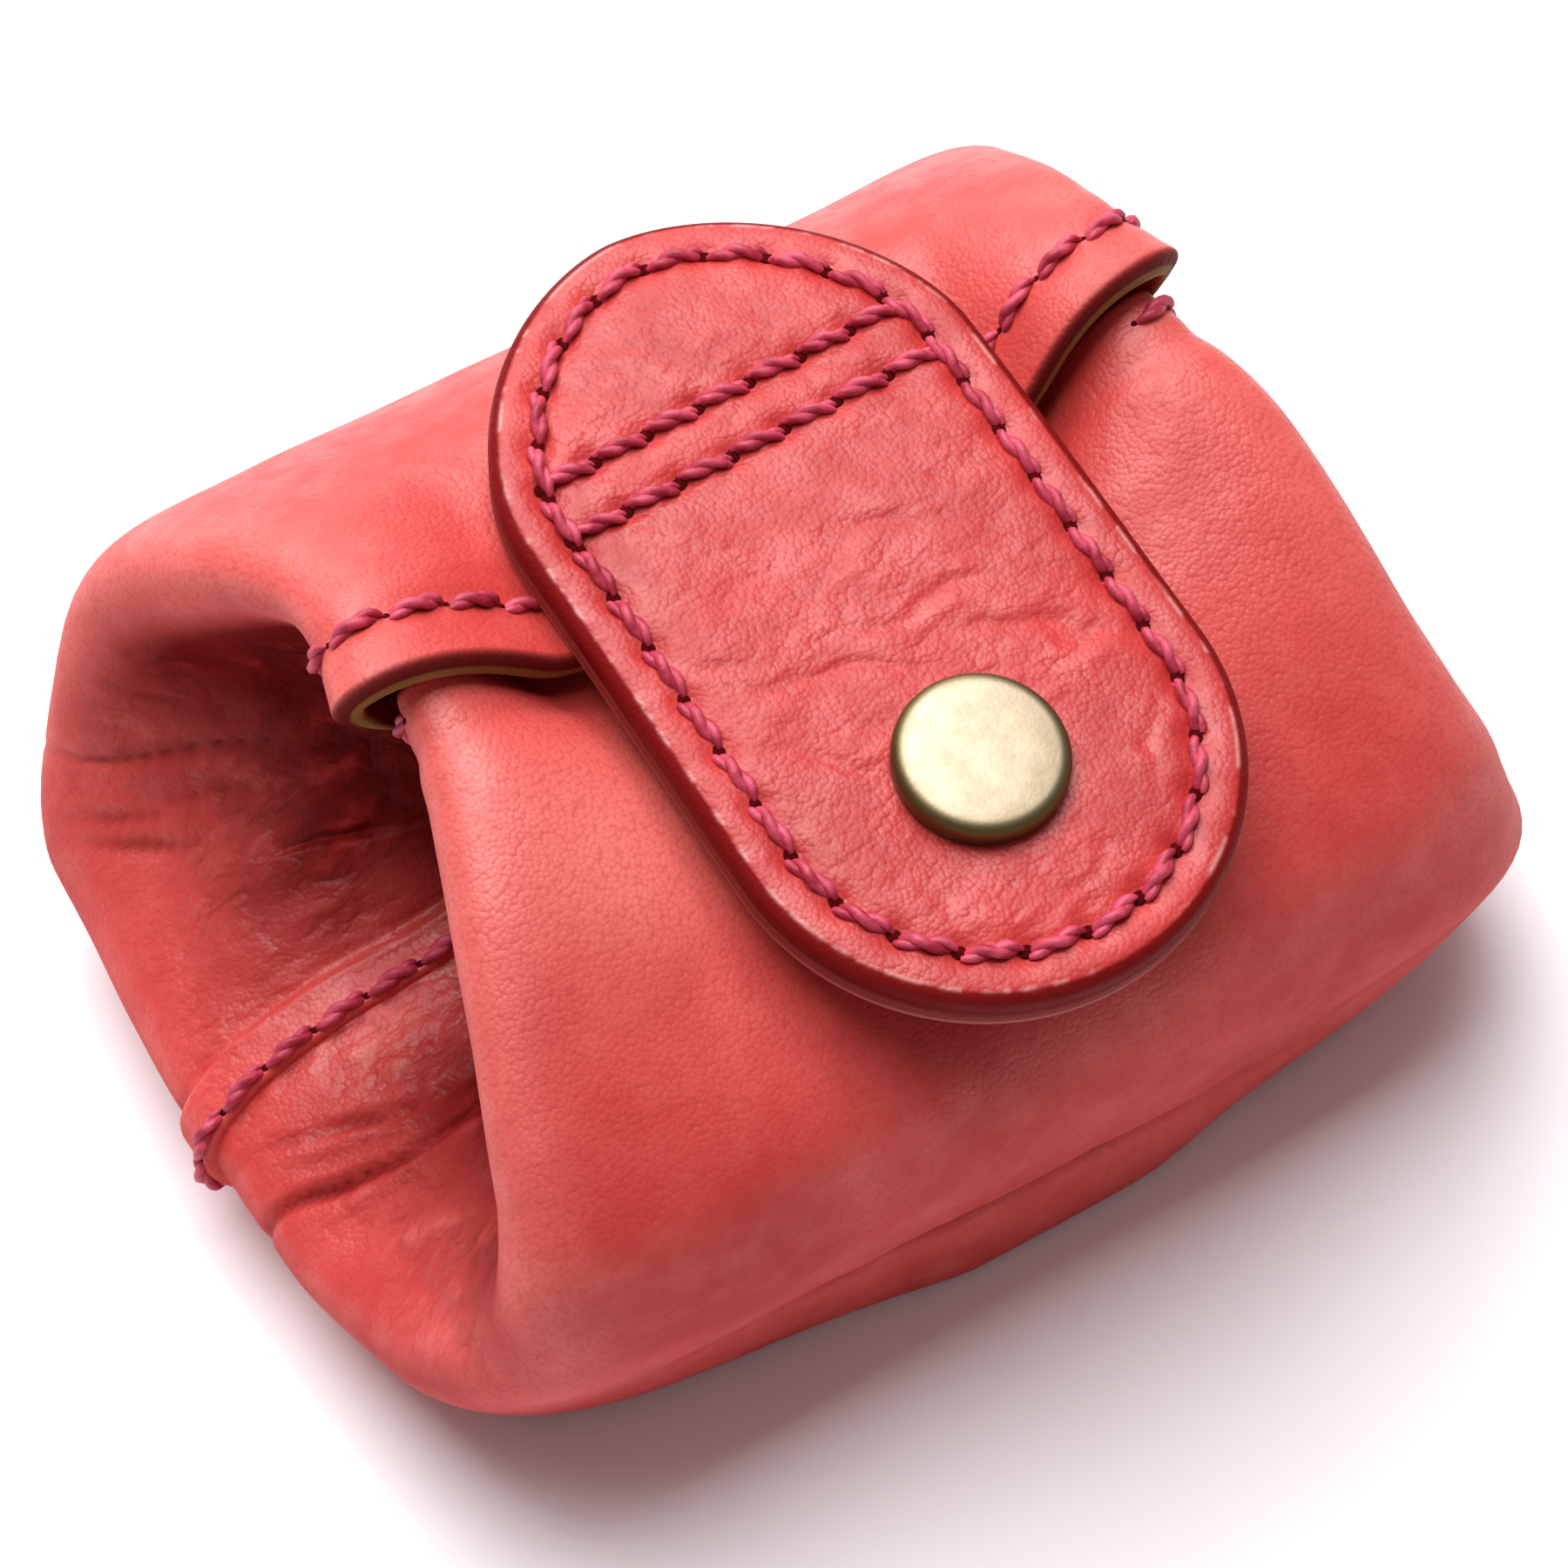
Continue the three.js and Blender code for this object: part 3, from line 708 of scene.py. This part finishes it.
# %% What is known of a panel
def measure_panel(half, first_side, straights):
    """A panel's middle surface, and where each of its points lies on it."""
    middle = panel_surface(half, first_side)
    along = lengths(middle, 1)
    up = lengths(middle, 0)
    columns = np.arange(middle.shape[1])
    first = len(columns) // 2 - fold_index(straights)
    last = len(columns) - 1 - first
    to_folds = [np.abs(along - along[:, [fold]]) for fold in (first, last)]
    return {
        "middle": middle,
        "along": along,
        "up": up,
        "from_rim": up[-1:] - up,
        "from_seam": np.minimum(along, along[:, -1:] - along),
        "from_fold": np.minimum(*to_folds),
        "in_tuck": (columns < first) | (columns > last),
    }


# %% Swells, lap and stitch groove
PANEL_SWELLS = [(0.3, 15), (0.12, 6)]
RIM_STITCH_INSET = 4.2
RIM_GROOVE = 0.22
RIM_GROOVE_WIDTH = 0.9
LAP_WIDTH = 3.6
LAP_EASE = 0.4
LAP_DIP = 0.4


def panel_push(panel, lap, wrinkles, seed):
    """How far each point moves along its normal: swells and the seam's lap, both less near the base,
    plus the groove of the rim's stitches and the wrinkles."""
    past_lap = panel["from_seam"] - LAP_WIDTH - LAP_EASE
    step = lap * np.clip(-past_lap / (2 * LAP_EASE), 0, 1)
    step -= LAP_DIP * lap * bell(past_lap, LAP_EASE)
    swells = uneven(panel["middle"], PANEL_SWELLS, seed)
    groove = -RIM_GROOVE * bell(panel["from_rim"] - RIM_STITCH_INSET, RIM_GROOVE_WIDTH)
    return (swells + step) * rising(panel["middle"][..., 2], 2, 5) + groove + wrinkles


# %% Values for the panels' finish
CUT_ROUNDING = 0.55
# Where a painted sheen lies on the front's top, and how far it reaches.
SHEEN_PLACE = np.array([-17, -9, 37])
SHEEN_REACH = 7.0
CREASED_PLACE = np.array([24, -6, 38])
CREASED_REACH = 8.0


def panel_values(panel, middle, normal, wrinkles):
    """Worn near the folds with a painted sheen on the front's top, cut at the rim, creased inside the
    hollows, with painted shade and a dull finish there and in the wrinkles' grooves, and polished where
    the leather faces up."""
    from_fold = panel["from_fold"]
    level = np.append(0 * BASE_SHARES, HEIGHTS)[:, None]
    wear_and_sheen = bell(from_fold, 3.0) * rising(middle[..., 2], 8, 8)
    # A painted sheen on the front's top, added to the wear of the folds.
    wear_and_sheen = wear_and_sheen + 2.0 * bell(norm(middle - SHEEN_PLACE), SHEEN_REACH)
    # Painted shade and a dull finish inside the hollows, fading out near the folds, the seam and the low
    # levels.
    painted_shade_and_dullness = panel["in_tuck"] * rising(from_fold, 1.5, 3) * rising(level, 1.8, 1.4)
    off_seam = (panel["from_seam"] - 3.0) / 8
    painted_shade_and_dullness = painted_shade_and_dullness * np.clip(off_seam + rising(level, 3.5, 1), 0, 1)
    in_hollow = panel["in_tuck"] * rising(from_fold, 2.0, 4) * rising(level, 1.2, 1)
    by_rim = bell(norm(middle - CREASED_PLACE), CREASED_REACH)
    return {
        "wear_and_sheen": wear_and_sheen,
        "cut": np.clip(1 - panel["from_rim"] / CUT_ROUNDING, 0, 1) ** 0.5,
        # Painted shade also in the wrinkles' grooves.
        "painted_shade_and_dullness": np.maximum(painted_shade_and_dullness, np.clip(-1.1 * wrinkles, 0, 0.8)),
        "creased": 0.05 + 2.2 * in_hollow + 0.4 * by_rim,
        "polished": rising(normal[..., 2], 0.1, 0.6),
    }


def both_faces(height, kinds):
    """A sheet's height, and the values of its middle surface on both its faces."""
    values = {kind: np.tile(value.ravel(), 2) for kind, value in kinds.items()}
    return {"height": height, **values}


# %% The two panels
def build_panel(name, node, half, first_side, straights, lap, seed):
    """A panel's middle surface, pushed along its normals and thickened to a sheet."""
    panel = measure_panel(half, first_side, straights)
    normal = surface_normals(panel["middle"])
    wrinkles = wrinkle_depth(panel["middle"])
    push = panel_push(panel, lap, wrinkles, seed)
    middle = panel["middle"] + normal * push[..., None]
    edge = np.minimum(np.minimum(panel["from_seam"], panel["from_rim"]), panel["up"])
    points, faces, height = sheet(middle, normal, LEATHER / 2, edge, CUT_ROUNDING)
    values = both_faces(height, panel_values(panel, middle, normal, wrinkles))
    add_piece(name, points, faces, body_leather, values, node)
    outer = points[: edge.size].reshape(middle.shape)
    return {**panel, "outer": outer, "normal": surface_normals(outer)}


SEAM_LAP = 0.75
front = build_panel("front_leather", "front_panel", front_half, -1, FRONT_STRAIGHTS, 0.0, 11)
back = build_panel("back_leather", "back_panel", back_half, 1, BACK_STRAIGHTS, SEAM_LAP, 23)

# %% [markdown]
# ## The tab
# Two layers of leather, cut to the same round-ended strip and sewn together round the edge. The
# strip's shape is a set of rings: each ring lies at a fixed distance from the strip's middle line, so
# the distance to the cut edge is known everywhere. The rings are then laid along the tab's curve.

# %% The tab's curve
TAB_LENGTH = 53.4
TAB_HALF = 15.2
TAB_PATH = np.array([[23, 39.8], [14, 39.4], [2, 38.1], [-14, 35.4], [-33, 32.4]])


def smooth_path(points, steps):
    """A centripetal Catmull-Rom curve: each piece is a cubic whose end slopes come from the
    neighbouring points, weighed by the square roots of the distances between them."""
    ends = np.concatenate([[2 * points[0] - points[1]], points, [2 * points[-1] - points[-2]]])
    t = even(steps)[:, None]
    curve = []
    for a, b, c, d in zip(ends, ends[1:], ends[2:], ends[3:]):
        first, second, third = [norm(q - p) ** 0.5 for p, q in ((a, b), (b, c), (c, d))]
        leave = ((b - a) / first - (c - a) / (first + second) + (c - b) / second) * second
        arrive = ((c - b) / second - (d - b) / (second + third) + (d - c) / third) * second
        bend = 3 * (c - b) - 2 * leave - arrive
        twist = 2 * (b - c) + leave + arrive
        curve.append(b + leave * t + bend * t**2 + twist * t**3)
    return np.concatenate([*curve, points[-1:]])


def walk(path):
    """The distance walked along a path to each of its points."""
    return np.append(0, np.cumsum(norm(np.diff(path, axis=0))))


def read_along(values, walked, spots):
    """Values along a path, read at other distances along it."""
    return np.stack([np.interp(spots, walked, column) for column in values.T], -1)


tab_line = smooth_path(TAB_PATH, 100)
tab_distance = walk(tab_line)
tab_slope = np.gradient(tab_line, tab_distance, axis=0)


def tab_up(distance):
    """The direction straight out of the tab at a distance along it."""
    slope = read_along(tab_slope, tab_distance, distance)
    return xyz(0, slope[..., 1], -slope[..., 0])


def on_tab(distance, aside, height):
    """A point at a distance along the tab, aside from its middle line, and above its underside."""
    line = read_along(tab_line, tab_distance, distance)
    foot = xyz(TAB_OFFSET + aside, line[..., 0], line[..., 1])
    return foot + tab_up(distance) * np.asarray(height)[..., None]


print("tab curve", round(tab_distance[-1], 2), "mm")

# %% The tab's creases
TAB_CREASES = table("distance aside turn reach depth", [
    [29.2, 2.2, 7, 4.5, 0.245],
    [34.6, 7.8, 38, 6, 0.21],
    [31, -4, 23, 4.5, 0.245],
    [35.2, -7.3, 35, 3, 0.21],
    [27.2, -10, 22, 2.5, 0.175],
    [48.4, -0.5, -14, 4, 0.175],
    [49.6, 1.4, -21, 4.5, 0.175],
    [47, -6.4, 77, 2.5, 0.175],
    [24.5, 3, 15, 3, 0.175],
    [43, 8.5, -60, 3.5, 0.175],
])
CREASE_WIDTH = 0.4
CREASE_BENDS = [(0.9, 2.6), (0.5, 1.1)]
print("creases of the tab:", len(TAB_CREASES["depth"]))


def crease_depth(distance, aside):
    """Grooves on the tab: bells of the distance from a line that is turned by some degrees from
    straight across and bent by noise, each fading out as a bell along its line."""
    place = xyz(aside, distance, 0)
    bend = uneven(place, CREASE_BENDS, 77)
    total = 0 * distance
    for row_distance, row_aside, turn, reach, depth in zip(*TAB_CREASES.values()):
        angle = np.radians(turn)
        ahead, across = distance - row_distance, aside - row_aside
        off_line = ahead * np.cos(angle) - across * np.sin(angle) + bend
        along_line = ahead * np.sin(angle) + across * np.cos(angle)
        total = total - depth * bell(off_line, CREASE_WIDTH) * bell(along_line, reach)
    return total


# %% The tab's outline and seams
STITCH_INSET = 2.9
FAR_END_POWER = 1.14
CROSS_LINES = [12.6, 16.2]
PITCH = 3.65
EDGE_INSETS = [0, 0.02, 0.06, 0.12, 0.2, 0.3, 0.42, 0.54, 0.64, 0.74, 0.86, 1.0]
RING_INSETS = np.append(EDGE_INSETS, np.linspace(1.25, TAB_HALF, 38))[::-1]


def around_tab(straight_steps, end_steps):
    """The tab's outline walked once round: each point's place on the middle line, and its direction
    from there. At the far end sine and cosine are raised to a power, which draws its shoulders in."""
    turn = even(end_steps) * np.pi
    near, far = TAB_HALF, TAB_LENGTH - TAB_HALF
    run = even(straight_steps)
    out = near + (far - near) * run
    home = far - (far - near) * run
    centre = np.concatenate([out, np.full(end_steps, far), home, np.full(end_steps, near)])
    far_along = np.sin(turn) ** FAR_END_POWER
    far_across = np.sign(np.cos(turn)) * np.abs(np.cos(turn)) ** FAR_END_POWER
    along = np.concatenate([0 * run, np.sin(turn), 0 * run, -far_along])
    across = np.concatenate([0 * run + 1, np.cos(turn), 0 * run - 1, -far_across])
    return [np.append(part, part[0]) for part in (centre, along, across)]


def tab_seams():
    """The sewn lines as pairs of distance along and aside: one round the edge and two across."""
    centre, along, across = around_tab(120, 200)
    reach = TAB_HALF - STITCH_INSET
    lines = [np.stack([centre + reach * along, reach * across], -1)]
    for line in CROSS_LINES:
        half = np.sqrt(reach**2 - max(TAB_HALF - line, 0) ** 2)
        aside = np.linspace(-half, half, 60)
        lines.append(np.stack([np.full_like(aside, line), aside], -1))
    return lines


def hole_spots(line):
    """Points on a sewn line one stitch apart."""
    walked = walk(line)
    spots = np.linspace(0, walked[-1], round(walked[-1] / PITCH) + 1)
    return read_along(line, walked, spots)


tab_holes = np.concatenate([hole_spots(line) for line in tab_seams()])
print("awl holes in the tab:", len(tab_holes))

# %% Grooves and swells of the tab
LOWER_LAYER = 1.75
UPPER_LAYER = 1.8
TAB_TOP = LOWER_LAYER + UPPER_LAYER
TAB_ROUNDING = 0.7
TAB_SWELLS = [(0.22, 9), (0.1, 3.4)]
GROOVE_WIDTH = 0.8
EDGE_GROOVE = 0.2
CROSS_GROOVE = 0.18
HOLE_DIMPLE = 0.34
WORN_EDGE = 0.3


def tab_push(flat, distance, aside, inset):
    """How far each point moves along its normal: grooves, dimples at the awl holes, creases and
    swells, minus a worn edge."""
    groove = -EDGE_GROOVE * bell(inset - STITCH_INSET, GROOVE_WIDTH)
    within = rising(inset, STITCH_INSET - GROOVE_WIDTH, GROOVE_WIDTH)
    for line in CROSS_LINES:
        groove = np.minimum(groove, -CROSS_GROOVE * bell(distance - line, GROOVE_WIDTH) * within)
    to_holes = norm(np.stack([distance, aside], -1)[:, :, None] - tab_holes)
    groove = groove - HOLE_DIMPLE * bell(to_holes.min(-1), GROOVE_WIDTH)
    swells = uneven(flat, TAB_SWELLS, 41) * rising(inset, 0, 3)
    creases = crease_depth(distance, aside) * rising(inset, STITCH_INSET, 1.5)
    return groove + creases + swells - WORN_EDGE * bell(inset, TAB_ROUNDING)


# %% The tab's two layers
def tab_layer(name, bottom, thickness, finish, node, sewn):
    """One layer of the tab as a sheet of rings. Only a sewn layer is pushed."""
    centre, along, across = around_tab(70, 130)
    reach = (TAB_HALF - RING_INSETS)[:, None]
    distance = centre + reach * along
    aside = reach * across
    inset = np.repeat(RING_INSETS[:, None], len(centre), axis=1)
    flat = on_tab(distance, aside, 0 * distance)
    normal = tab_up(distance)
    push = sewn * tab_push(flat, distance, aside, inset)
    middle = flat + normal * (bottom + thickness / 2 + push)[..., None]
    points, faces, height = sheet(middle, normal, thickness / 2, inset, TAB_ROUNDING)
    values = both_faces(height, {
        "cut": 1 - rising(inset, 0.55, 0.2),
        "rubbed": bell(inset - 0.72, 0.12),
        "creased": np.maximum(rising(inset, STITCH_INSET, 2), 0.15),
        "polished": 0 * inset + 1,
    })
    add_piece(name, points, faces, finish, values, node)


tab_layer("tab_lower_layer", 0.0, LOWER_LAYER, backing_leather, "tab_backing", 0.0)
tab_layer("tab_upper_layer", LOWER_LAYER, UPPER_LAYER, tab_leather, "tab_outer", 1.0)

# %% [markdown]
# ## The snap
# A brass cap on the tab, pressed from sheet with a soft shoulder, and the stud under it that the
# closed purse hides. Both are turned: an outline of radius and height carried round the snap's axis.

# %% The snap's two halves
CAP_DISTANCE = 39.2
CAP_ASIDE = -0.5
brass = Finish("aged_brass", Metallic=1.0)


def turned(name, outline, node):
    """An outline of radius and height, swept round the snap's axis."""
    radius, height = np.array(outline, float).T
    turn = np.append(even(72), 0.0) * 2 * np.pi
    foot = on_tab(CAP_DISTANCE, CAP_ASIDE, 0.0)
    axis = tab_up(CAP_DISTANCE)
    side = np.array([1.0, 0.0, 0.0])
    ahead = np.cross(axis, side)
    spoke = np.cos(turn)[:, None] * side + np.sin(turn)[:, None] * ahead
    points = foot + height[:, None, None] * axis + radius[:, None, None] * spoke
    quads = grid_quads(*points.shape[:2])
    ring = np.repeat(radius / radius.max(), len(turn))
    add_piece(name, points.reshape(-1, 3), quads, brass, {"ring": ring}, node)


def shoulder(radius, top, depth, count):
    """A quarter of an ellipse from the cap's side up to its flat face."""
    angle = np.linspace(0, np.pi / 2, count)
    return list(zip(radius - depth * (1 - np.cos(angle)), top - depth * (1 - np.sin(angle))))


cap_outline = [
    *((0, -0.9), (2.4, -0.9), (2.4, -1.9), (4.2, -1.9), (4.2, -0.3), (1.5, -0.3)),
    (1.5, TAB_TOP - 0.3),
    (4.9, TAB_TOP - 0.3),
    *shoulder(5.0, TAB_TOP + 1.75, 0.85, 10),
    (3.6, TAB_TOP + 1.82),
    (2.0, TAB_TOP + 1.88),
    (0, TAB_TOP + 1.9),
]
stud_outline = [
    *((0, -7.7), (3.6, -7.7), (3.6, -6.9), (1.2, -6.9), (1.2, -2.7)),
    *((3.6, -2.7), (3.6, -2.2), (2.1, -2.2), (2.1, -1.2), (0, -1.2)),
]
turned("snap_cap_brass", cap_outline, "snap_cap")
turned("snap_stud_brass", stud_outline, "snap_stud")

# %% [markdown]
# Brass that is handled goes brown and cloudy, darkest round the cap's edge, where no thumb rubs it.

# %% Aged brass
stain = brass.noise(1.6, 4, 0.65)
pits = brass.noise(0.25)
rim = brass.attribute("ring").ramp(0.8, 0.97)
tone = brass.blend(stain.ramp(0.35, 0.75), linear(190, 172, 148), linear(180, 161, 136))
brass.feed(
    Base_Color=brass.blend(rim, tone, linear(112, 98, 58)),
    Roughness=0.44 + stain * 0.16,
    Normal=brass.bump(pits, 0.01),
)
print(brass.material.name, len(brass.tree.nodes), "nodes")

# %% [markdown]
# ## The stitches
# A saddle stitch in a thick two-ply thread: each stitch is a short twist that dips into an awl hole at
# both ends. One stitch is two thin tubes wound round each other. All the stitches of a seam are one
# array, carried along a path that lies on the leather.

# %% Thread and awl holes
thread = Finish("twisted_thread", Roughness=0.5)
thread_shade = thread.noise(1.1, 3)
fibres = thread.noise(0.12)
thread.feed(
    Base_Color=thread.blend(thread_shade.ramp(0.3, 0.7), linear(166, 28, 56), linear(212, 76, 102)),
    Normal=thread.bump(fibres, 0.03),
)
# Awl holes are dark discs laid on the leather: painted shade in the holes.
hole_shade_finish = Finish("awl_hole", Roughness=0.9, IOR=1.05)
hole_shade = hole_shade_finish.noise(0.6)
hole_shade_finish.feed(Base_Color=hole_shade_finish.blend(hole_shade, linear(56, 6, 8), linear(90, 14, 16)))

# %% Stitches along a path
THREAD = 0.34
PLY_SPREAD = 0.6
PLY_START = 0.9
STITCH_RISE = 0.58
STITCH_SINK = 0.22


def follow(path, normal, spots):
    """Points, directions and normals at distances along a path."""
    walked = walk(path)
    slope = np.gradient(path, walked, axis=0)
    place, ahead, up = [read_along(values, walked, spots) for values in (path, slope, normal)]
    ahead = unit(ahead)
    return place, ahead, unit(up - ahead * (up * ahead).sum(-1, keepdims=True))


def stitch_run(path, normal, start, stop, slant):
    """Every stitch between two distances along a path. Its middle rises as the root of a sine and
    leans across the path by slant; its two plies turn round that middle, half a turn apart."""
    count = max(1, int(round((stop - start) / PITCH)))
    pitch = (stop - start) / count
    t = np.linspace(0, 1, 13)
    spots = start + pitch * (np.arange(count)[:, None] + 0.02 + 0.96 * t)
    centre, ahead, up = follow(path, normal, spots)
    across = np.cross(up, ahead)
    arch = np.sqrt(np.sin(np.pi * t))[:, None]
    lean = slant * (t - 0.5)
    centre = centre + up * (STITCH_RISE * arch - STITCH_SINK) + across * lean[:, None]
    plies = []
    for phase in (0, np.pi):
        angle = (phase + 2 * np.pi * t + PLY_START)[:, None]
        ply = centre + (across * np.cos(angle) + up * np.sin(angle)) * THREAD * PLY_SPREAD
        turn = np.linspace(0, 2 * np.pi, 8)[:, None]
        width = THREAD * (0.45 + 0.55 * arch)[:, None]
        round_ply = across[:, :, None] * np.cos(turn) + up[:, :, None] * np.sin(turn)
        plies.append(ply[:, :, None] + round_ply * width)
    holes = np.linspace(start, stop, count + 1)
    return np.concatenate(plies), follow(path, normal, holes)


# %% Sewing a seam
HOLE_RADII = np.array([1.0, 0.6, 0.0])
HOLE_LIFTS = np.array([-0.05, 0.05, 0.06])
HOLE_ROUNDNESS = 0.8


def sew(name, runs, hole):
    """One mesh of all the stitches of some runs, and one of dark discs that paint the shade in their awl
    holes.
    """
    tubes = np.concatenate([run[0] for run in runs])
    add_piece(name + "_stitches", tubes.reshape(-1, 3), grid_quads(*tubes.shape[:3]), thread)
    spot, ahead, up = [np.concatenate([run[1][k] for run in runs]) for k in range(3)]
    across = np.cross(up, ahead)
    turn = np.linspace(0, 2 * np.pi, 11)[:, None]
    disc = ahead[:, None] * np.cos(turn) * hole
    disc = disc + across[:, None] * np.sin(turn) * HOLE_ROUNDNESS * hole
    spread = disc[:, None] * HOLE_RADII[:, None, None]
    raised = up[:, None, None] * HOLE_LIFTS[:, None, None]
    dots = spot[:, None, None] + spread + raised
    add_piece(name + "_awl_holes", dots.reshape(-1, 3), grid_quads(*dots.shape[:3]), hole_shade_finish)


# %% Sewing the tab
TAB_SLANTS = (0.5, -0.5, -0.5)
TAB_HOLE = 0.5
SUNK_IN_TAB = 0.24
tab_runs = []
for line, slant in zip(tab_seams(), TAB_SLANTS):
    path = on_tab(line[:, 0], line[:, 1], TAB_TOP - SUNK_IN_TAB)
    tab_runs.append(stitch_run(path, tab_up(line[:, 0]), 0, walk(path)[-1], slant))
sew("tab", tab_runs, TAB_HOLE)

# %% [markdown]
# The rims' stitches show beside the tab, and a seam runs up the floor of each tuck. Each path lies at
# a fixed distance from an edge of its panel.

# %% Sewing the rims and the side seams
RIM_SLANT = 0.4
SEAM_SLANT = 0.3
RIM_HOLE = 0.3
SEAM_HOLE = 0.36
FRONT_STITCH_INSET = 1.9
SEAM_STITCH_INSET = 0.6
SEAM_LEVELS = (0.7, 5.9)
NO_LIMIT = 99.0


def level_line(panel, distance, inset):
    """Where a distance falls to inset in every column of a panel."""
    rows = np.arange(len(distance))
    found = np.array([np.interp(-inset, -column, rows) for column in distance.T])
    low = np.minimum(found.astype(int), len(rows) - 2)
    part = (found - low)[:, None]
    column = np.arange(len(found))

    def at(values):
        return values[low, column] * (1 - part) + values[low + 1, column] * part

    return at(panel["outer"]), at(panel["normal"])


def rim_runs(panel, straights, inset, past_fold, left_most=NO_LIMIT, right_most=NO_LIMIT):
    """Stitches along a rim on both sides of the tab, from its edge to a little past the fold, and at
    most a given length before the fold."""
    path, normal = level_line(panel, panel["from_rim"], inset)
    walked = walk(path)
    middle = len(path) // 2
    fold = fold_index(straights)
    under = np.abs(path[:, 0] - TAB_OFFSET) < TAB_HALF - 1
    under[: middle - fold] = False
    under[middle + fold:] = False
    first, last = walked[under][[0, -1]]
    left, right = walked[middle - fold], walked[middle + fold]
    ends = [
        (max(last, right - right_most), right + past_fold),
        (left - past_fold, min(first, left + left_most)),
    ]
    return [stitch_run(path, normal, start, stop, RIM_SLANT) for start, stop in ends]


def seam_run(panel, inset, backwards):
    """Stitches up a side seam, at a distance from the panel's edge, between two levels of its table."""
    order = slice(None, None, -1 if backwards else 1)
    along = panel["along"]
    distance = along[:, ::-1] if backwards else along[:, -1:] - along
    sideways = {k: panel[k][:, order].swapaxes(0, 1) for k in ("outer", "normal")}
    path, normal = level_line(sideways, distance.T, inset)
    first, last = len(BASE_SHARES) + np.searchsorted(HEIGHTS, SEAM_LEVELS)
    path, normal = path[first:last], normal[first:last]
    return stitch_run(path, normal, 0, walk(path)[-1], SEAM_SLANT)


back_runs = rim_runs(back, BACK_STRAIGHTS, RIM_STITCH_INSET, past_fold=7.0)
front_limits = {"past_fold": 4.0, "left_most": 0.0, "right_most": 3.5}
front_runs = rim_runs(front, FRONT_STRAIGHTS, FRONT_STITCH_INSET, **front_limits)
seam_runs = [seam_run(back, SEAM_STITCH_INSET, backwards) for backwards in (True, False)]
sew("back_rim", back_runs, RIM_HOLE)
sew("front_rim", front_runs, RIM_HOLE)
sew("side_seam", seam_runs, SEAM_HOLE)

# %% [markdown]
# ## Floor, light and camera
# The purse stands on a white table under a large soft light above and a little behind it, in a pale
# surround. A second, wide light far behind on the right lays a sheen on the leather that faces it.

# %% Floor and surround
TABLE_CORNERS = [(-4, -4, 0), (4, -4, 0), (4, 4, 0), (-4, 4, 0)]
SURROUND = (1.0, 0.985, 1.0, 1.0)
SURROUND_STRENGTH = 0.22
scene = bpy.context.scene
floor_finish = Finish("white_table", Roughness=0.7)
floor_clouds = floor_finish.noise(300)
floor_tone = floor_finish.blend(floor_clouds, linear(246, 244, 248), linear(250, 248, 251))
floor_finish.feed(Base_Color=floor_tone)
floor_mesh = bpy.data.meshes.new("table_top")
floor_mesh.from_pydata(TABLE_CORNERS, [], [(0, 1, 2, 3)])
floor_mesh.materials.append(floor_finish.material)
floor = bpy.data.objects.new("table_top", floor_mesh)
scene.collection.objects.link(floor)

world = bpy.data.worlds.new("studio")
scene.world = world
world.use_nodes = True
background = world.node_tree.nodes["Background"]
background.inputs["Color"].default_value = SURROUND
background.inputs["Strength"].default_value = SURROUND_STRENGTH


# %% Soft lights
def soft_light(name, place, aim, size, power):
    """A square light of a size in metres, turned towards a point."""
    lamp = bpy.data.lights.new(name, "AREA")
    lamp.shape = "SQUARE"
    lamp.size = size
    lamp.energy = power
    light = bpy.data.objects.new(name, lamp)
    light.location = place
    light.rotation_mode = "QUATERNION"
    light.rotation_quaternion = (Vector(aim) - Vector(place)).to_track_quat("-Z", "Y")
    scene.collection.objects.link(light)
    print(name, "light,", size, "m wide,", power, "W")


soft_light("overhead", place=(0.0, 0.28, 0.8), aim=(0, 0, 0.02), size=0.7, power=10.4)
soft_light("backdrop", place=(0.35, 1.3, 0.7), aim=(0, 0, 0.3), size=1.4, power=10.0)
scene.view_settings.view_transform = "Standard"

# %% [markdown]
# The camera looks down on the purse from the front left, through a long lens that hardly shrinks the
# far side. A small shift of the lens centres the purse.

# %% Camera
CAMERA_AZIMUTH = np.radians(-33.3)
CAMERA_ELEVATION = np.radians(57.0)
CAMERA_DISTANCE = 261.0
CAMERA_TARGET = np.array([0.0, 0.0, 17.4])
PICTURE_WIDTH = 1800
level_part = np.cos(CAMERA_ELEVATION)
sideways = np.sin(CAMERA_AZIMUTH) * level_part
forwards = -np.cos(CAMERA_AZIMUTH) * level_part
towards = np.array([sideways, forwards, np.sin(CAMERA_ELEVATION)])
camera_place = CAMERA_TARGET + ORIGIN + towards * CAMERA_DISTANCE
camera = bpy.data.objects.new("camera", bpy.data.cameras.new("camera"))
camera.data.sensor_width = 36.0
camera.data.lens = 99.3
camera.data.shift_x = -15 / PICTURE_WIDTH
camera.data.shift_y = -12 / PICTURE_WIDTH
camera.data.clip_start = 0.01
camera.location = Vector((camera_place * MM).tolist())
camera.rotation_mode = "QUATERNION"
camera.rotation_quaternion = (-Vector(towards.tolist())).to_track_quat("-Z", "Y")
scene.collection.objects.link(camera)
scene.camera = camera
print("camera at", np.round(camera_place, 1).tolist(), "mm")
